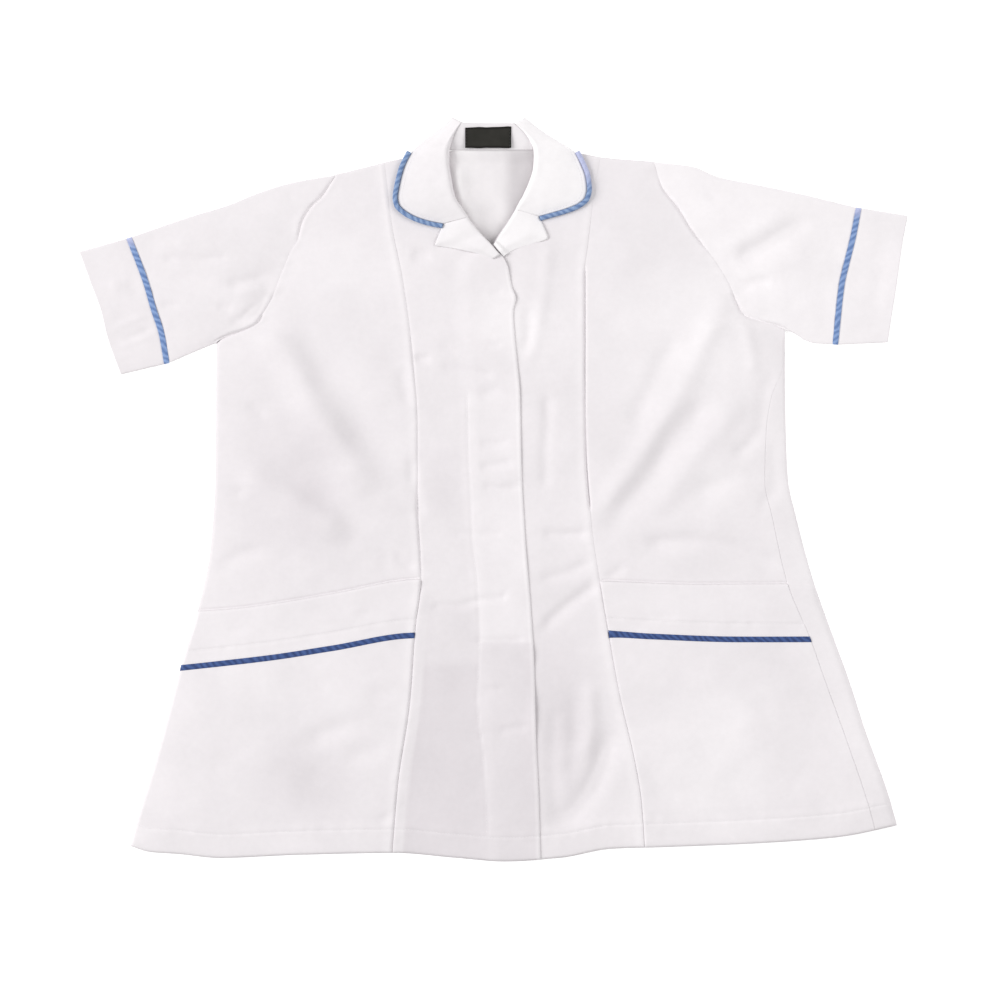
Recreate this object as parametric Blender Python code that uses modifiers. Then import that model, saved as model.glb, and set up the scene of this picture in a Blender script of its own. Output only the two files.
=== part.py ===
"""A nurse's short-sleeved tunic with a revers collar, laid flat with its front up.

Metres, +Z up, and the collar towards +Y. The origin is on the surface that the tunic lies on, under
the middle of its outline. Right and left are the wearer's, so the right front is on the -X side.
The tables are in millimetres, each with named columns and one row for each place or fold.
"""

import bmesh
import bpy
import numpy as np

MM = 0.001

# Driving dimensions, in millimetres.
WALL = 1.2  # one layer of cloth, with its nap and its small waves
BACK_WALL = 1.5  # the back panel, which carries the rest
GAP = 0.3  # between pieces at a seam, and between layers
LOFT = 4.0  # how far the front stands clear of the back, away from its edges
LOFT_REACH = 35.0  # how far in from an edge that loft comes up
HEM_DEPTH = 24.0  # the turned-up hem
HEM_RISE = 0.8  # what the turned-up layer adds
OVERLAP = 42.0  # how far the right front lies over the left one
OVERLAP_RAMP = 20.0  # where the right front climbs onto the left one
LEAST_STRIP = 12.0  # the overlap's columns stay this far apart where the neck opens
TRIM_WIDTH = 5.4  # the flat blue trim of the pockets and cuffs
TRIM_WALL = 2.0
CUFF_TRIM_RISE = 0.7
PIPING_RADIUS = 2.1  # the blue piping round the collar
SLEEVE_EDGE = 3.4  # the height of a flattened sleeve along its folds
SHOULDER_ROOM = 0.6  # more room at the shoulder's sharp corner, where the sleeve's wall turns inwards
SLEEVE_LOFT = 3.0
CUFF_LOFT = 1.2
COLLAR_WALL = 1.3
STAND_DEPTH = 22.0  # the part of the collar and revers that lies under their roll
LABEL = (46.0, 21.0)
LABEL_WALL = 0.6

# Rows and columns of the front's grid.
ROWS_HEM = 1
ROWS_POCKET = 8
ROWS_BAND = 3
ROWS_WAIST = 12
ROWS_ARMHOLE = 10
COLUMNS_SIDE = 11
COLUMNS_CENTRE = 5
COLUMNS_OVERLAP = 3
COLUMNS_TURN = 2
SLEEVE_STATIONS = 11
CUFF_STATIONS = 3
BACK_SHOULDER_POINTS = 15
BACK_HEM_POINTS = 18
PIPING_POINTS = 25
CROSSING_STEPS = 40  # steps in finding where a column crosses a row


def table(columns, *rows):
    """A short table: one array for each named column."""
    return dict(zip(columns.split(), np.array(rows, float).T))


def smooth(keys, values, at):
    """The value at a place on a smooth line through the rows, which never overshoots them."""
    at = np.asarray(at, float)
    step = np.diff(keys)
    slope = np.diff(values) / step
    product = slope[:-1] * slope[1:]
    mean = np.where(product > 0, 2 * product / (slope[:-1] + slope[1:] + (product <= 0)), 0)
    tangent = np.concatenate([slope[:1], mean, slope[-1:]])
    i = np.clip(np.searchsorted(keys, at) - 1, 0, len(step) - 1)
    t = np.clip((at - keys[i]) / step[i], 0, 1)
    rise = (3 - 2 * t) * t * t
    lead = t * (1 - t) * ((1 - t) * tangent[i] - t * tangent[i + 1]) * step[i]
    return values[i] + (values[i + 1] - values[i]) * rise + lead


def ease(t):
    """0 below 0, 1 above 1, and a soft step between."""
    t = np.clip(t, 0, 1)
    return t * t * (3 - 2 * t)


# The outline's right side, from the hem to the underarm and along the armhole to the shoulder.
SIDE_RIGHT = table(
    "y x",
    (-357, -364), (-324, -354.5), (-261, -335.5), (-179, -313.5), (-126, -297.5), (-60, -283.5),
    (17, -278.5), (93, -278), (147, -277.5), (160, -249.5), (166, -236.5), (176, -231), (195, -220.5),
    (213, -213.5), (238, -203.5), (250, -196), (266, -192.5), (282, -183.5), (293, -172), (315, -158.5),
)
SIDE_LEFT = table(
    "y x",
    (-336, 404), (-303, 394.5), (-245, 373.5), (-187, 354.5), (-138, 336.5), (-86, 318.5),
    (-26, 302.5), (8, 295), (31, 293.5), (89, 292), (160, 291.5), (167, 272.5), (174, 251.5), (189, 242.5),
    (204, 236.5), (226, 223.5), (241, 212.5), (258, 199.5), (282, 184.5), (304, 168), (328, 160.5),
)
# The left side seam, which has rolled to the front: the back panel turns round the edge up to it.
SEAM_LEFT = table(
    "y x",
    (-345, 383), (-316, 375), (-245, 351), (-187, 330), (-150, 317), (-94, 294), (-26, 278.5),
    (8, 271.5), (60, 273), (110, 282), (160, 291.5),
)
TURN_TOP = 112.0  # the turned edge ends here, where the seam comes back to the fold

PRINCESS_RIGHT = table(
    "y x",
    (-357, -101), (-294, -95.5), (-211, -83.5), (-142, -78.5), (-88, -72.5), (-12, -76), (62, -76),
    (139, -81.5), (208, -90.5), (263, -101.5), (327, -109.5),
)
PRINCESS_LEFT = table(
    "y x",
    (-359, 151.5), (-312, 148), (-275, 142), (-202, 125.5), (-135, 113.5), (-99, 107.5), (-38, 98.5),
    (42, 92.5), (106, 91.5), (221, 91.5), (244, 94.5), (297, 100.5), (332, 106.5),
)
# The right front's free edge, from the hem to the revers, and then the roll up to the neck.
FRONT_EDGE = table(
    "y x",
    (-372, 47), (-311, 45.5), (-244, 42.5), (-181, 41), (-119, 37.5), (-58, 32.5), (29, 28), (98, 26.5),
    (131, 23.5), (177, 20), (190, 22.5), (203, 18.5), (222, 14.5), (233, 9), (243, -1.5), (259, -15.5),
    (274, -27.5), (288, -37), (306, -41.5), (338, -44),
)
# The left front's hidden edge near the neck, and its roll. Lower down it runs under the right front.
UNDER_EDGE = table(
    "y x",
    (200, -22.8), (222, -21), (233, -14), (243, -3), (258, 7.5), (271, 16.5), (290, 27.5), (305, 35),
    (320, 39.5), (341, 41),
)

# Level lines across the front.
HEM = table(
    "x y",
    (-364, -357), (-344, -363), (-316, -365), (-274, -369), (-200, -366), (-101, -364), (-38, -369),
    (10, -372.5), (67, -369), (118, -360), (175, -358), (270, -354), (346, -348), (404, -336.5),
)
TRIM_LINE = table(
    "x y",
    (-320, -179.5), (-275, -174.5), (-220, -168), (-162, -159), (-79, -146), (114, -144.7),
    (157, -147), (247, -150), (345, -150),
)
POCKET_TOP = table(
    "x y",
    (-300, -122), (-265, -119.7), (-208, -112.3), (-162, -104.3), (-72, -89.7), (109, -91.7),
    (202, -94.7), (325, -94),
)
UNDERARM = table("x y", (-277.5, 147), (-100, 150), (100, 158), (291.5, 160))
SHOULDER = table(
    "x y",
    (-158.5, 315), (-121.5, 324), (-97, 330), (-40, 337), (40, 338), (83.5, 336.5), (110.5, 332),
    (160.5, 328),
)

# The largest folds of the fronts and pockets: a line through three points, its half width, and its
# height, which is below 0 in a trough.
FOLDS = table(
    "x0 y0 x1 y1 x2 y2 width height",
    (-222, 178, -160, 92, -121, 23, 13, -2.0),
    (-226, 151, -197, 105, -140, 17, 14, 2.2),
    (-115, 103, -118, 75, -121, 46, 11, 1.2),
    (-255, 84, -212, 52, -174, 26, 11, -1.4),
    (-222, 21, -169, -18, -82, -75, 12, -1.9),
    (-255, 7, -217, -18, -155, -52, 14, 1.6),
    (-278, -67, -255, -60, -228, -54, 9, -1.0),
    (-79, 132, -53, 124, -27, 117, 8, -1.0),
    (-38, -170, -38, -260, -36, -340, 24, -1.8),
    (-83, 240, -71, 240, -58, 240, 10, -1.0),
    (54, 251, 48, 190, 37, 114, 10, 1.6),
    (50, 94, 48, 45, 47, -3, 10, -1.0),
    (41, -86, 71, -79, 97, -70, 10, -1.4),
    (100, -90, 72, -118, 49, -149, 10, -1.6),
    (113, -193, 104, -261, 63, -334, 14, -2.6),
    (74, -193, 74, -224, 70, -255, 10, -1.0),
    (229, 196, 167, 100, 116, 19, 15, 2.4),
    (176, 173, 150, 115, 132, 70, 12, -1.5),
    (201, 127, 171, 54, 98, -43, 12, -2.6),
    (226, 88, 176, 19, 105, -72, 14, 2.4),
    (277, 120, 262, 84, 247, 45, 10, -1.2),
    (247, 22, 222, 10, 201, -1, 10, -1.0),
    (148, -45, 215, -43, 280, -62, 11, -1.2),
    (238, 189, 254, 153, 265, 120, 10, 1.2),
    (-212, -252, -166, -236, -143, -229, 11, -1.4),
    (-98, -255, -132, -262, -166, -266, 10, -1.2),
    (186, -223, 207, -240, 227, -270, 10, -1.3),
)
SLEEVE_FOLDS = table(
    "x0 y0 x1 y1 x2 y2 width height",
    (-222, 212, -240, 213, -263, 206, 10, -1.3),
    (-318, 231, -293, 233, -268, 234, 11, -0.9),
    (-238, 182, -254, 170, -270, 158, 10, -1.2),
    (240, 234, 282, 257, 322, 280, 13, -2.4),
    (242, 219, 292, 239, 335, 265, 14, 1.8),
    (240, 206, 266, 208, 288, 206, 10, -1.4),
)

# Each sleeve's outline: along its top fold, its underarm fold, the cuff's seam and the cuff's end.
SLEEVES = {
    "right": {
        "outward": np.array((-0.957, -0.29)),
        "top": table("x y", (-158.5, 315), (-203, 307), (-233, 298), (-268, 284), (-304, 273), (-365, 252)),
        "under": table("x y", (-277.5, 147), (-304, 136), (-322, 128), (-327, 126)),
        "cuff_seam": table("x y", (-365, 252), (-348.5, 209), (-340, 180), (-332, 155), (-327, 126)),
        "cuff_end": table("x y", (-414.5, 238), (-403.5, 208), (-392.5, 178), (-386.5, 153), (-373, 115)),
    },
    "left": {
        "outward": np.array((0.99, -0.12)),
        "top": table("x y", (160.5, 328), (201, 323), (225, 313), (259, 306), (303, 297), (365.5, 282)),
        "under": table("x y", (291.5, 160), (311, 150), (324, 146), (342, 145)),
        "cuff_seam": table("x y", (365.5, 282), (359.5, 251), (353.5, 227), (348.5, 205), (342, 145)),
        "cuff_end": table("x y", (414.6, 274), (409.5, 248), (403.5, 206), (398.5, 174), (394.5, 147)),
    },
}

# Sections of the collar and revers, from the front upwards: the outer edge, the roll at the neck,
# and how far the roll stands above what the section lies on.
COLLARS = {
    "right": table(
        "edge_x edge_y roll_x roll_y lift",
        (-51, 263, -25, 271.5, 6.0),
        (-64, 265.5, -29, 278, 7.5),
        (-77, 269.5, -33, 284, 8.5),
        (-90, 276.5, -37, 290, 9.0),
        (-97, 284, -39, 296, 9.0),
        (-98.5, 292, -40.5, 302, 9.0),
        (-96.5, 305, -42, 311, 9.0),
        (-92, 322, -44, 325, 9.5),
        (-84.5, 337.5, -44, 336, 10.5),
        (-66, 352, -41.5, 347.5, 10.5),
        (-52, 362.5, -37, 357.5, 9.0),
        (-41, 372.4, -31, 366.5, 7.0),
    ),
    "left": table(
        "edge_x edge_y roll_x roll_y lift",
        (46.5, 270.5, 21.5, 279, 6.0),
        (61, 274.5, 25, 286, 7.5),
        (74.5, 278.5, 28.5, 292, 8.5),
        (87, 284, 32, 299, 9.0),
        (94, 291, 34.5, 305, 9.0),
        (96, 300.5, 37, 312, 9.0),
        (94.5, 313, 39.5, 321, 9.0),
        (90, 325.5, 40, 331, 9.5),
        (84, 337.5, 39.5, 340, 10.5),
        (66, 348, 36, 348.5, 10.5),
        (48, 359.5, 29.5, 357, 9.0),
        (31.5, 372.4, 20.5, 365, 7.0),
    ),
}
REVERS = {
    "right": table(
        "edge_x edge_y roll_x roll_y lift",
        (-52.5, 260.5, -24, 269, 5.5),
        (-58.5, 244, -17, 261, 5.0),
        (-40, 240.5, -11.5, 255, 4.4),
        (-22, 236.5, -6, 249.5, 3.6),
    ),
    "left": table(
        "edge_x edge_y roll_x roll_y lift",
        (49, 266.5, 21.5, 276.5, 5.5),
        (54.5, 251, 15.5, 268.5, 5.0),
        (38, 244.5, 10.5, 261.5, 4.4),
        (21, 239.5, 6, 254, 3.6),
    ),
}
PIPED_STATIONS = 9  # the collar's sections that have piping, counted from its point
COLLAR_LEAVES_FRONT = 340.0  # above this the collar comes down from the shoulders to the surface
COLLAR_COMES_DOWN = 10.0
COLLAR_BACK_SEAM = 339.5
COLLAR_BACK_FOLD = 367.0
COLLAR_BACK_HEIGHT = 7.0
COLLAR_BACK_COLUMNS = 10
FOLD_ROUND = 1.6  # how far in from its fold the collar is rounded
REST_GAP = 0.4  # between a rolled piece and the highest cloth under it
ROLL_REACH = 8.0  # a section rests on the highest cloth this near to it
ROLL_OVERHANG = 8.0  # the roll reaches at most this far past the front that it lies on
NECK_CLEARANCE = 0.6  # more room between the two fronts where they part at the neck
COLLAR_STEPS = 14
REVERS_STEPS = 7
LABEL_MIDDLE = (-5.0, 351.5)


def side_right(y):
    return smooth(SIDE_RIGHT["y"], SIDE_RIGHT["x"], y)


def side_left(y):
    return smooth(SIDE_LEFT["y"], SIDE_LEFT["x"], y)


def seam_left(y):
    """The left side seam below the underarm, and the armhole above it."""
    return np.where(y < SEAM_LEFT["y"][-1], smooth(SEAM_LEFT["y"], SEAM_LEFT["x"], y), side_left(y))


def princess_right(y):
    return smooth(PRINCESS_RIGHT["y"], PRINCESS_RIGHT["x"], y)


def princess_left(y):
    return smooth(PRINCESS_LEFT["y"], PRINCESS_LEFT["x"], y)


def front_edge(y):
    return smooth(FRONT_EDGE["y"], FRONT_EDGE["x"], y)


def under_edge(y):
    lower = front_edge(y) - OVERLAP
    return np.where(y < UNDER_EDGE["y"][0], lower, smooth(UNDER_EDGE["y"], UNDER_EDGE["x"], y))


def right_strip(y):
    return np.minimum(under_edge(y), front_edge(y) - LEAST_STRIP)


def left_strip(y):
    return np.maximum(front_edge(y), under_edge(y) + LEAST_STRIP)


def level(name, x):
    """The height up the front of a named level line."""
    lines = {
        "hem": (HEM, 0.0),
        "hem stitch": (HEM, HEM_DEPTH),
        "trim low": (TRIM_LINE, -TRIM_WIDTH / 2),
        "trim high": (TRIM_LINE, TRIM_WIDTH / 2),
        "pocket top": (POCKET_TOP, 0.0),
        "underarm": (UNDERARM, 0.0),
        "shoulder": (SHOULDER, 0.0),
    }
    line, raised = lines[name]
    return smooth(line["x"], line["y"], x) + raised


STAGES = (
    ("hem", "hem stitch", ROWS_HEM),
    ("hem stitch", "trim low", ROWS_POCKET),
    ("trim low", "trim high", 1),
    ("trim high", "pocket top", ROWS_BAND),
    ("pocket top", "underarm", ROWS_WAIST),
    ("underarm", "shoulder", ROWS_ARMHOLE),
)
ROW_LINES = [
    (lower, upper, step / rows) for lower, upper, rows in STAGES for step in range(rows)
] + [("shoulder", "shoulder", 0.0)]
TRIM_LOW_ROW = ROWS_HEM + ROWS_POCKET
TRIM_HIGH_ROW = TRIM_LOW_ROW + 1
POCKET_TOP_ROW = TRIM_HIGH_ROW + ROWS_BAND
UNDERARM_ROW = POCKET_TOP_ROW + ROWS_WAIST
SHOULDER_ROW = UNDERARM_ROW + ROWS_ARMHOLE


def folds(lines, x, y):
    """The height that a table's folds add at a place."""
    total = np.zeros(np.shape(x))
    for x0, y0, x1, y1, x2, y2, width, height in zip(*lines.values()):
        away = np.full(np.shape(x), np.inf)
        for ax, ay, bx, by in ((x0, y0, x1, y1), (x1, y1, x2, y2)):
            dx, dy = bx - ax, by - ay
            t = np.clip(((x - ax) * dx + (y - ay) * dy) / (dx * dx + dy * dy), 0, 1)
            away = np.minimum(away, np.hypot(x - ax - t * dx, y - ay - t * dy))
        total = total + height * np.exp(-((away / width) ** 2))
    return total


def front_height(x, y):
    """The front's underside above the surface: loft and folds, and a thicker hem."""
    inside = np.minimum(x - side_right(y), side_left(y) - x)
    inside = np.minimum(inside, np.minimum(level("shoulder", x) - y, y - level("hem", x)))
    share = 1 - np.exp(-np.maximum(inside, 0) / LOFT_REACH)
    hem = HEM_RISE * ease((level("hem stitch", x) + 4 - y) / 4) * share
    return BACK_WALL + GAP + share * np.maximum(LOFT + folds(FOLDS, x, y), 0) + hem


def right_centre_height(x, y):
    """The right front climbs onto the left one."""
    climb = ease((x - under_edge(y)) / OVERLAP_RAMP + 1)
    neck = NECK_CLEARANCE * ease((y - UNDER_EDGE["y"][0]) / OVERLAP_RAMP)
    return front_height(x, y) + climb * (WALL + GAP + neck)


def row_height(row, x):
    """How far up the front a row of the grid runs."""
    lower, upper, share = ROW_LINES[row]
    return level(lower, x) * (1 - share) + level(upper, x) * share


def between(first, second, count, inset=(0.0, 0.0)):
    """Columns from one line of the front to another, each a function of y, inset at both ends."""

    def column(share):
        return lambda y: (first(y) + inset[0]) * (1 - share) + (second(y) - inset[1]) * share

    return [column(share) for share in np.linspace(0, 1, count + 1)]


def panel(columns, rows, height):
    """The grid of points where the columns cross the rows, on the cloth's underside."""
    points = np.zeros((len(rows), len(columns), 3))
    for i, row in enumerate(rows):
        for j, column in enumerate(columns):
            y = row_height(row, 0.0)
            for _ in range(CROSSING_STEPS):
                x = column(y)
                y = row_height(row, x)
            points[i, j] = (x, y, height(x, y))
    return points


def grid(points):
    """An open sheet of quads through an array of points, in metres, with its faces up."""
    rows, columns = points.shape[:2]
    sheet = bmesh.new()
    bmesh.ops.create_grid(sheet, x_segments=columns - 1, y_segments=rows - 1, size=1)
    for vertex, place in zip(sheet.verts, points.reshape(-1, 3)):
        vertex.co = place * MM
    return sheet


def material(name, colour, roughness):
    finish = bpy.data.materials.new(name)
    finish.use_nodes = True
    surface = finish.node_tree.nodes["Principled BSDF"]
    surface.inputs["Base Color"].default_value = (*colour, 1.0)
    surface.inputs["Roughness"].default_value = roughness
    surface.inputs["Metallic"].default_value = 0.0
    return finish


def add(name, data, finish):
    piece = bpy.data.objects.new(name, data)
    piece.data.materials.append(finish)
    PARTS.objects.link(piece)
    return piece


def cloth(name, sheet, wall, offset, finish):
    """A named solid: the open sheet with a wall of cloth on one side of it."""
    data = bpy.data.meshes.new(name)
    sheet.to_mesh(data)
    sheet.free()
    data.shade_smooth()
    piece = add(name, data, finish)
    solidify = piece.modifiers.new("Cloth wall", "SOLIDIFY")
    solidify.thickness = wall * MM
    solidify.offset = offset
    solidify.use_even_offset = False
    return piece


def moved_out(points, distance):
    """The points of a panel moved out along its own normals, for what lies on it."""
    sheet = grid(points)
    sheet.normal_update()
    outward = np.array([vertex.normal for vertex in sheet.verts]).reshape(points.shape)
    sheet.free()
    return points + outward * distance


def make_fronts():
    """The two side fronts and the two centre fronts, and what is sewn on them."""
    half = GAP / 2
    every_row = range(SHOULDER_ROW + 1)
    side_columns = {
        "right": between(side_right, princess_right, COLUMNS_SIDE, (0, half)),
        "left": between(princess_left, seam_left, COLUMNS_SIDE, (half, half)),
    }
    for side, columns in side_columns.items():
        points = panel(columns, every_row, front_height)
        cloth(f"front_side_{side}", grid(points), WALL, 1, CLOTH)
        make_pocket(side, moved_out(points, WALL + GAP))

    centre_right = (
        between(princess_right, right_strip, COLUMNS_CENTRE, (half, 0))[:-1]
        + between(right_strip, front_edge, COLUMNS_OVERLAP)
    )
    points = panel(centre_right, every_row, right_centre_height)
    cloth("front_centre_right", grid(points), WALL, 1, CLOTH)

    centre_left = (
        between(under_edge, left_strip, COLUMNS_OVERLAP)[:-1]
        + between(left_strip, princess_left, COLUMNS_CENTRE, (0, half))
    )
    points = panel(centre_left, every_row, front_height)
    cloth("front_centre_left", grid(points), WALL, 1, CLOTH)

    turn = between(seam_left, side_left, COLUMNS_TURN, (half, 0))
    low_rows = [row for row in every_row if row_height(row, SEAM_LEFT["x"][-2]) < TURN_TOP]
    points = panel(turn, low_rows, front_height)
    cloth("back_turned_edge", grid(points), WALL, 1, CLOTH)


def make_pocket(side, points):
    """A pocket sewn into the seams at its sides and foot, with a band and a flat trim at its top."""
    pieces = (
        ("pocket", 0, TRIM_LOW_ROW, WALL, CLOTH),
        ("pocket_trim", TRIM_LOW_ROW, TRIM_HIGH_ROW, TRIM_WALL, TRIM),
        ("pocket_band", TRIM_HIGH_ROW, POCKET_TOP_ROW, WALL, CLOTH),
    )
    for name, first, last, wall, finish in pieces:
        rows = points[first : last + 1].copy()
        if first > 0:
            rows[0, :, 1] += GAP / 2
        if last < POCKET_TOP_ROW:
            rows[-1, :, 1] -= GAP / 2
        cloth(f"{name}_{side}", grid(rows), wall, 1, finish)


def armhole(side):
    """The armhole's points from the shoulder down to the underarm, the same on front and back."""
    edge = side_right if side == "right" else side_left
    rows = range(UNDERARM_ROW, SHOULDER_ROW + 1)
    points = panel([edge], rows, lambda x, y: 0.0)[:, 0, :2]
    return points[::-1]


def make_back():
    """The whole back, flat on the surface: sides, armholes, shoulders and the neck seam."""
    low_rows = range(UNDERARM_ROW)
    right = panel([side_right], low_rows, lambda x, y: 0.0)[:, 0, :2]
    left = panel([side_left], low_rows, lambda x, y: 0.0)[:, 0, :2]
    shoulder_x = np.linspace(SHOULDER["x"][0], SHOULDER["x"][-1], BACK_SHOULDER_POINTS)[1:-1]
    hem_x = np.linspace(HEM["x"][-1], HEM["x"][0], BACK_HEM_POINTS)[1:-1]
    outline = np.concatenate([
        right,
        armhole("right")[::-1],
        np.stack([shoulder_x, level("shoulder", shoulder_x)], axis=1),
        armhole("left"),
        left[::-1],
        np.stack([hem_x, level("hem", hem_x)], axis=1),
    ])
    curve = bpy.data.curves.new("back", "CURVE")
    curve.dimensions = "2D"
    curve.fill_mode = "BOTH"
    curve.extrude = BACK_WALL / 2 * MM
    spline = curve.splines.new("POLY")
    spline.points.add(len(outline) - 1)
    for point, (x, y) in zip(spline.points, outline):
        point.co = (x * MM, y * MM, 0, 1)
    spline.use_cyclic_u = True
    back = add("back", curve, CLOTH)
    back.location.z = BACK_WALL / 2 * MM


def lengthwise(line):
    """How far along a line each of its points is, from 0 to 1."""
    steps = np.hypot(np.diff(line[:, 0]), np.diff(line[:, 1]))
    along = np.concatenate([[0], np.cumsum(steps)])
    return along / along[-1]


def sampled(line, shares):
    """Points at shares of the way along a smooth line through a table's rows."""
    rows = np.stack([line["x"], line["y"]], axis=1)
    along = lengthwise(rows)
    return np.stack([smooth(along, rows[:, k], shares) for k in (0, 1)], axis=1)


def bow(line, shares):
    """How far a line leaves the straight one between its ends."""
    ends = sampled(line, np.array((0.0, 1.0)))
    return sampled(line, shares) - ends[0] - np.outer(shares, ends[1] - ends[0])


def flat_tube(name, start, end, bows, stations, across, height, wall, finish):
    """A flattened tube from one line to another: a wall of cloth round a narrow hollow.

    across gives the shares from the top fold to the underarm fold where start and end have points.
    """
    fold = SLEEVE_EDGE / 2
    width = np.linalg.norm(start[-1] - start[0])
    near = fold / width
    inner = np.concatenate([[near], across[1:-1], [1 - near]])
    ring_share = np.concatenate([[0.0], inner, [1.0], inner[::-1], [0.0]])
    count = len(inner)
    along = np.linspace(0, 1, stations + 1)
    points = np.zeros((len(along), len(ring_share), 3))
    for i, s in enumerate(along):
        first = np.stack([np.interp(ring_share, across, start[:, k]) for k in (0, 1)], axis=1)
        last = np.stack([np.interp(ring_share, across, end[:, k]) for k in (0, 1)], axis=1)
        plan = first * (1 - s) + last * s
        plan = plan + np.outer(1 - ring_share, bows[0][i]) + np.outer(ring_share, bows[1][i])
        points[i, :, :2] = plan
        points[i, :, 2] = height(plan[:, 0], plan[:, 1], s, ring_share)
        points[i, count + 2 : -1, 2] = 0.0
        points[i, [0, count + 1, -1], 2] = fold
    tube = grid(points)
    bmesh.ops.remove_doubles(tube, verts=tube.verts, dist=0.00001)
    bmesh.ops.recalc_face_normals(tube, faces=tube.faces)
    return cloth(name, tube, wall, -1, finish)


def make_sleeve(side):
    """A sleeve from the armhole to the cuff's seam, a flat trim in that seam, and the cuff."""
    shape = SLEEVES[side]
    outward = shape["outward"]
    hole = armhole(side)
    across = lengthwise(hole)
    tangent = np.gradient(hole, axis=0)
    normal = np.stack([tangent[:, 1], -tangent[:, 0]], axis=1)
    normal = normal / np.linalg.norm(normal, axis=1)[:, None]
    normal = normal * np.sign(normal @ outward)[:, None]
    room = np.full((len(hole), 1), GAP)
    room[0] += SHOULDER_ROOM
    seam = sampled(shape["cuff_seam"], across)
    cuff_end = sampled(shape["cuff_end"], across)
    half = TRIM_WIDTH / 2

    def crown(t):
        return 1 - np.abs(2 * t - 1) ** 3

    def sleeve_height(x, y, s, t):
        loft = SLEEVE_LOFT * crown(t) * (0.35 + 0.65 * np.sin(np.pi * s))
        waves = folds(SLEEVE_FOLDS, x, y) * crown(t) * ease(s * 6) * ease((1 - s) * 6)
        return SLEEVE_EDGE + np.maximum(loft + waves, 0)

    def cuff_height(x, y, s, t):
        return SLEEVE_EDGE + CUFF_LOFT * crown(t)

    def trim_height(x, y, s, t):
        return cuff_height(x, y, s, t) + CUFF_TRIM_RISE

    stations = np.linspace(0, 1, SLEEVE_STATIONS + 1)
    edges = (bow(shape["top"], stations), bow(shape["under"], stations))
    no_bow = (np.zeros((CUFF_STATIONS + 1, 2)), np.zeros((CUFF_STATIONS + 1, 2)))
    flat_tube(
        f"sleeve_{side}", hole + normal * room, seam - outward * (half + GAP), edges,
        SLEEVE_STATIONS, across, sleeve_height, WALL, CLOTH,
    )
    flat_tube(
        f"cuff_trim_{side}", seam - outward * half, seam + outward * half, no_bow,
        1, across, trim_height, WALL, TRIM,
    )
    flat_tube(
        f"cuff_{side}", seam + outward * (half + GAP), cuff_end, no_bow,
        CUFF_STATIONS, across, cuff_height, WALL, CLOTH,
    )


def section_at(sections, shares):
    """Each column of a table of sections, at shares of the way through its rows."""
    keys = np.linspace(0, 1, len(sections["lift"]))
    return {name: smooth(keys, column, shares) for name, column in sections.items()}


def resting_height(at):
    """The height of what each section lies on: the fronts, and past the shoulders the surface."""
    heights = []
    for share in np.linspace(0, 1, 6):
        x = at["edge_x"] * (1 - share) + at["roll_x"] * share
        y = at["edge_y"] * (1 - share) + at["roll_y"] * share
        down = ease((y - COLLAR_LEAVES_FRONT) / COLLAR_COMES_DOWN)
        for near in (y - ROLL_REACH, y, y + ROLL_REACH):
            on_right = x < front_edge(y) + ROLL_OVERHANG
            lies_on = np.where(on_right, right_centre_height(x, near), front_height(x, near))
            heights.append((lies_on + WALL + REST_GAP) * (1 - down))
    return np.max(heights, axis=0)


def rolled(name, sections, steps, edge_inset):
    """A piece that folds over at the neck: its fall on top, a rounded roll, and its stand below."""
    shares = np.linspace(0, 1, steps + 1)
    at = section_at(sections, shares)
    bases = resting_height(at)
    edge = np.stack([at["edge_x"], at["edge_y"]], axis=1)
    roll = np.stack([at["roll_x"], at["roll_y"]], axis=1)
    tangent = np.gradient(edge, axis=0)
    normal = np.stack([-tangent[:, 1], tangent[:, 0]], axis=1)
    normal = normal / np.linalg.norm(normal, axis=1)[:, None]
    normal = normal * np.sign(((roll - edge) * normal).sum(axis=1))[:, None]
    piped = ease(PIPED_STATIONS - shares * (len(sections["lift"]) - 1))
    edge = edge + normal * (edge_inset * piped)[:, None]
    points = []
    for k in range(steps + 1):
        width = np.linalg.norm(edge[k] - roll[k])
        out = (edge[k] - roll[k]) / width
        lift, base = at["lift"][k], bases[k]
        stand = min(STAND_DEPTH, 0.6 * width)
        radius = lift / 2
        profile = [(width, COLLAR_WALL)]
        for share in (0.8, 0.6, 0.4, 0.22):
            profile.append((width * share, COLLAR_WALL + (lift - COLLAR_WALL) * (1 - share**2.2)))
        profile += [
            (min(radius * 0.75, width * 0.12), lift),
            (radius * 0.2, lift * 0.82),
            (0.0, lift * 0.5),
            (radius * 0.2, lift * 0.16),
            (radius * 0.75, 0.0),
            (stand * 0.6 + radius * 0.3, 0.0),
            (stand, 0.0),
        ]
        points.append([(*(roll[k] + out * away), base + up) for away, up in profile])
    sheet = grid(np.array(points))
    sheet.normal_update()
    sheet.faces.ensure_lookup_table()
    if sheet.faces[0].normal.z < 0:
        bmesh.ops.reverse_faces(sheet, faces=sheet.faces)
    return cloth(name, sheet, COLLAR_WALL, -1, CLOTH)


def make_piping(side):
    """Round blue piping along the collar's outer edge."""
    sections = {name: column[:PIPED_STATIONS] for name, column in COLLARS[side].items()}
    at = section_at(sections, np.linspace(0, 1, PIPING_POINTS))
    bases = resting_height(at)
    curve = bpy.data.curves.new(f"collar_piping_{side}", "CURVE")
    curve.dimensions = "3D"
    curve.bevel_depth = PIPING_RADIUS * MM
    curve.bevel_resolution = 1
    curve.use_fill_caps = True
    spline = curve.splines.new("POLY")
    spline.points.add(len(bases) - 1)
    for point, x, y, base in zip(spline.points, at["edge_x"], at["edge_y"], bases):
        point.co = (x * MM, y * MM, (base + PIPING_RADIUS) * MM, 1)
    add(f"collar_piping_{side}", curve, TRIM)


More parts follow.
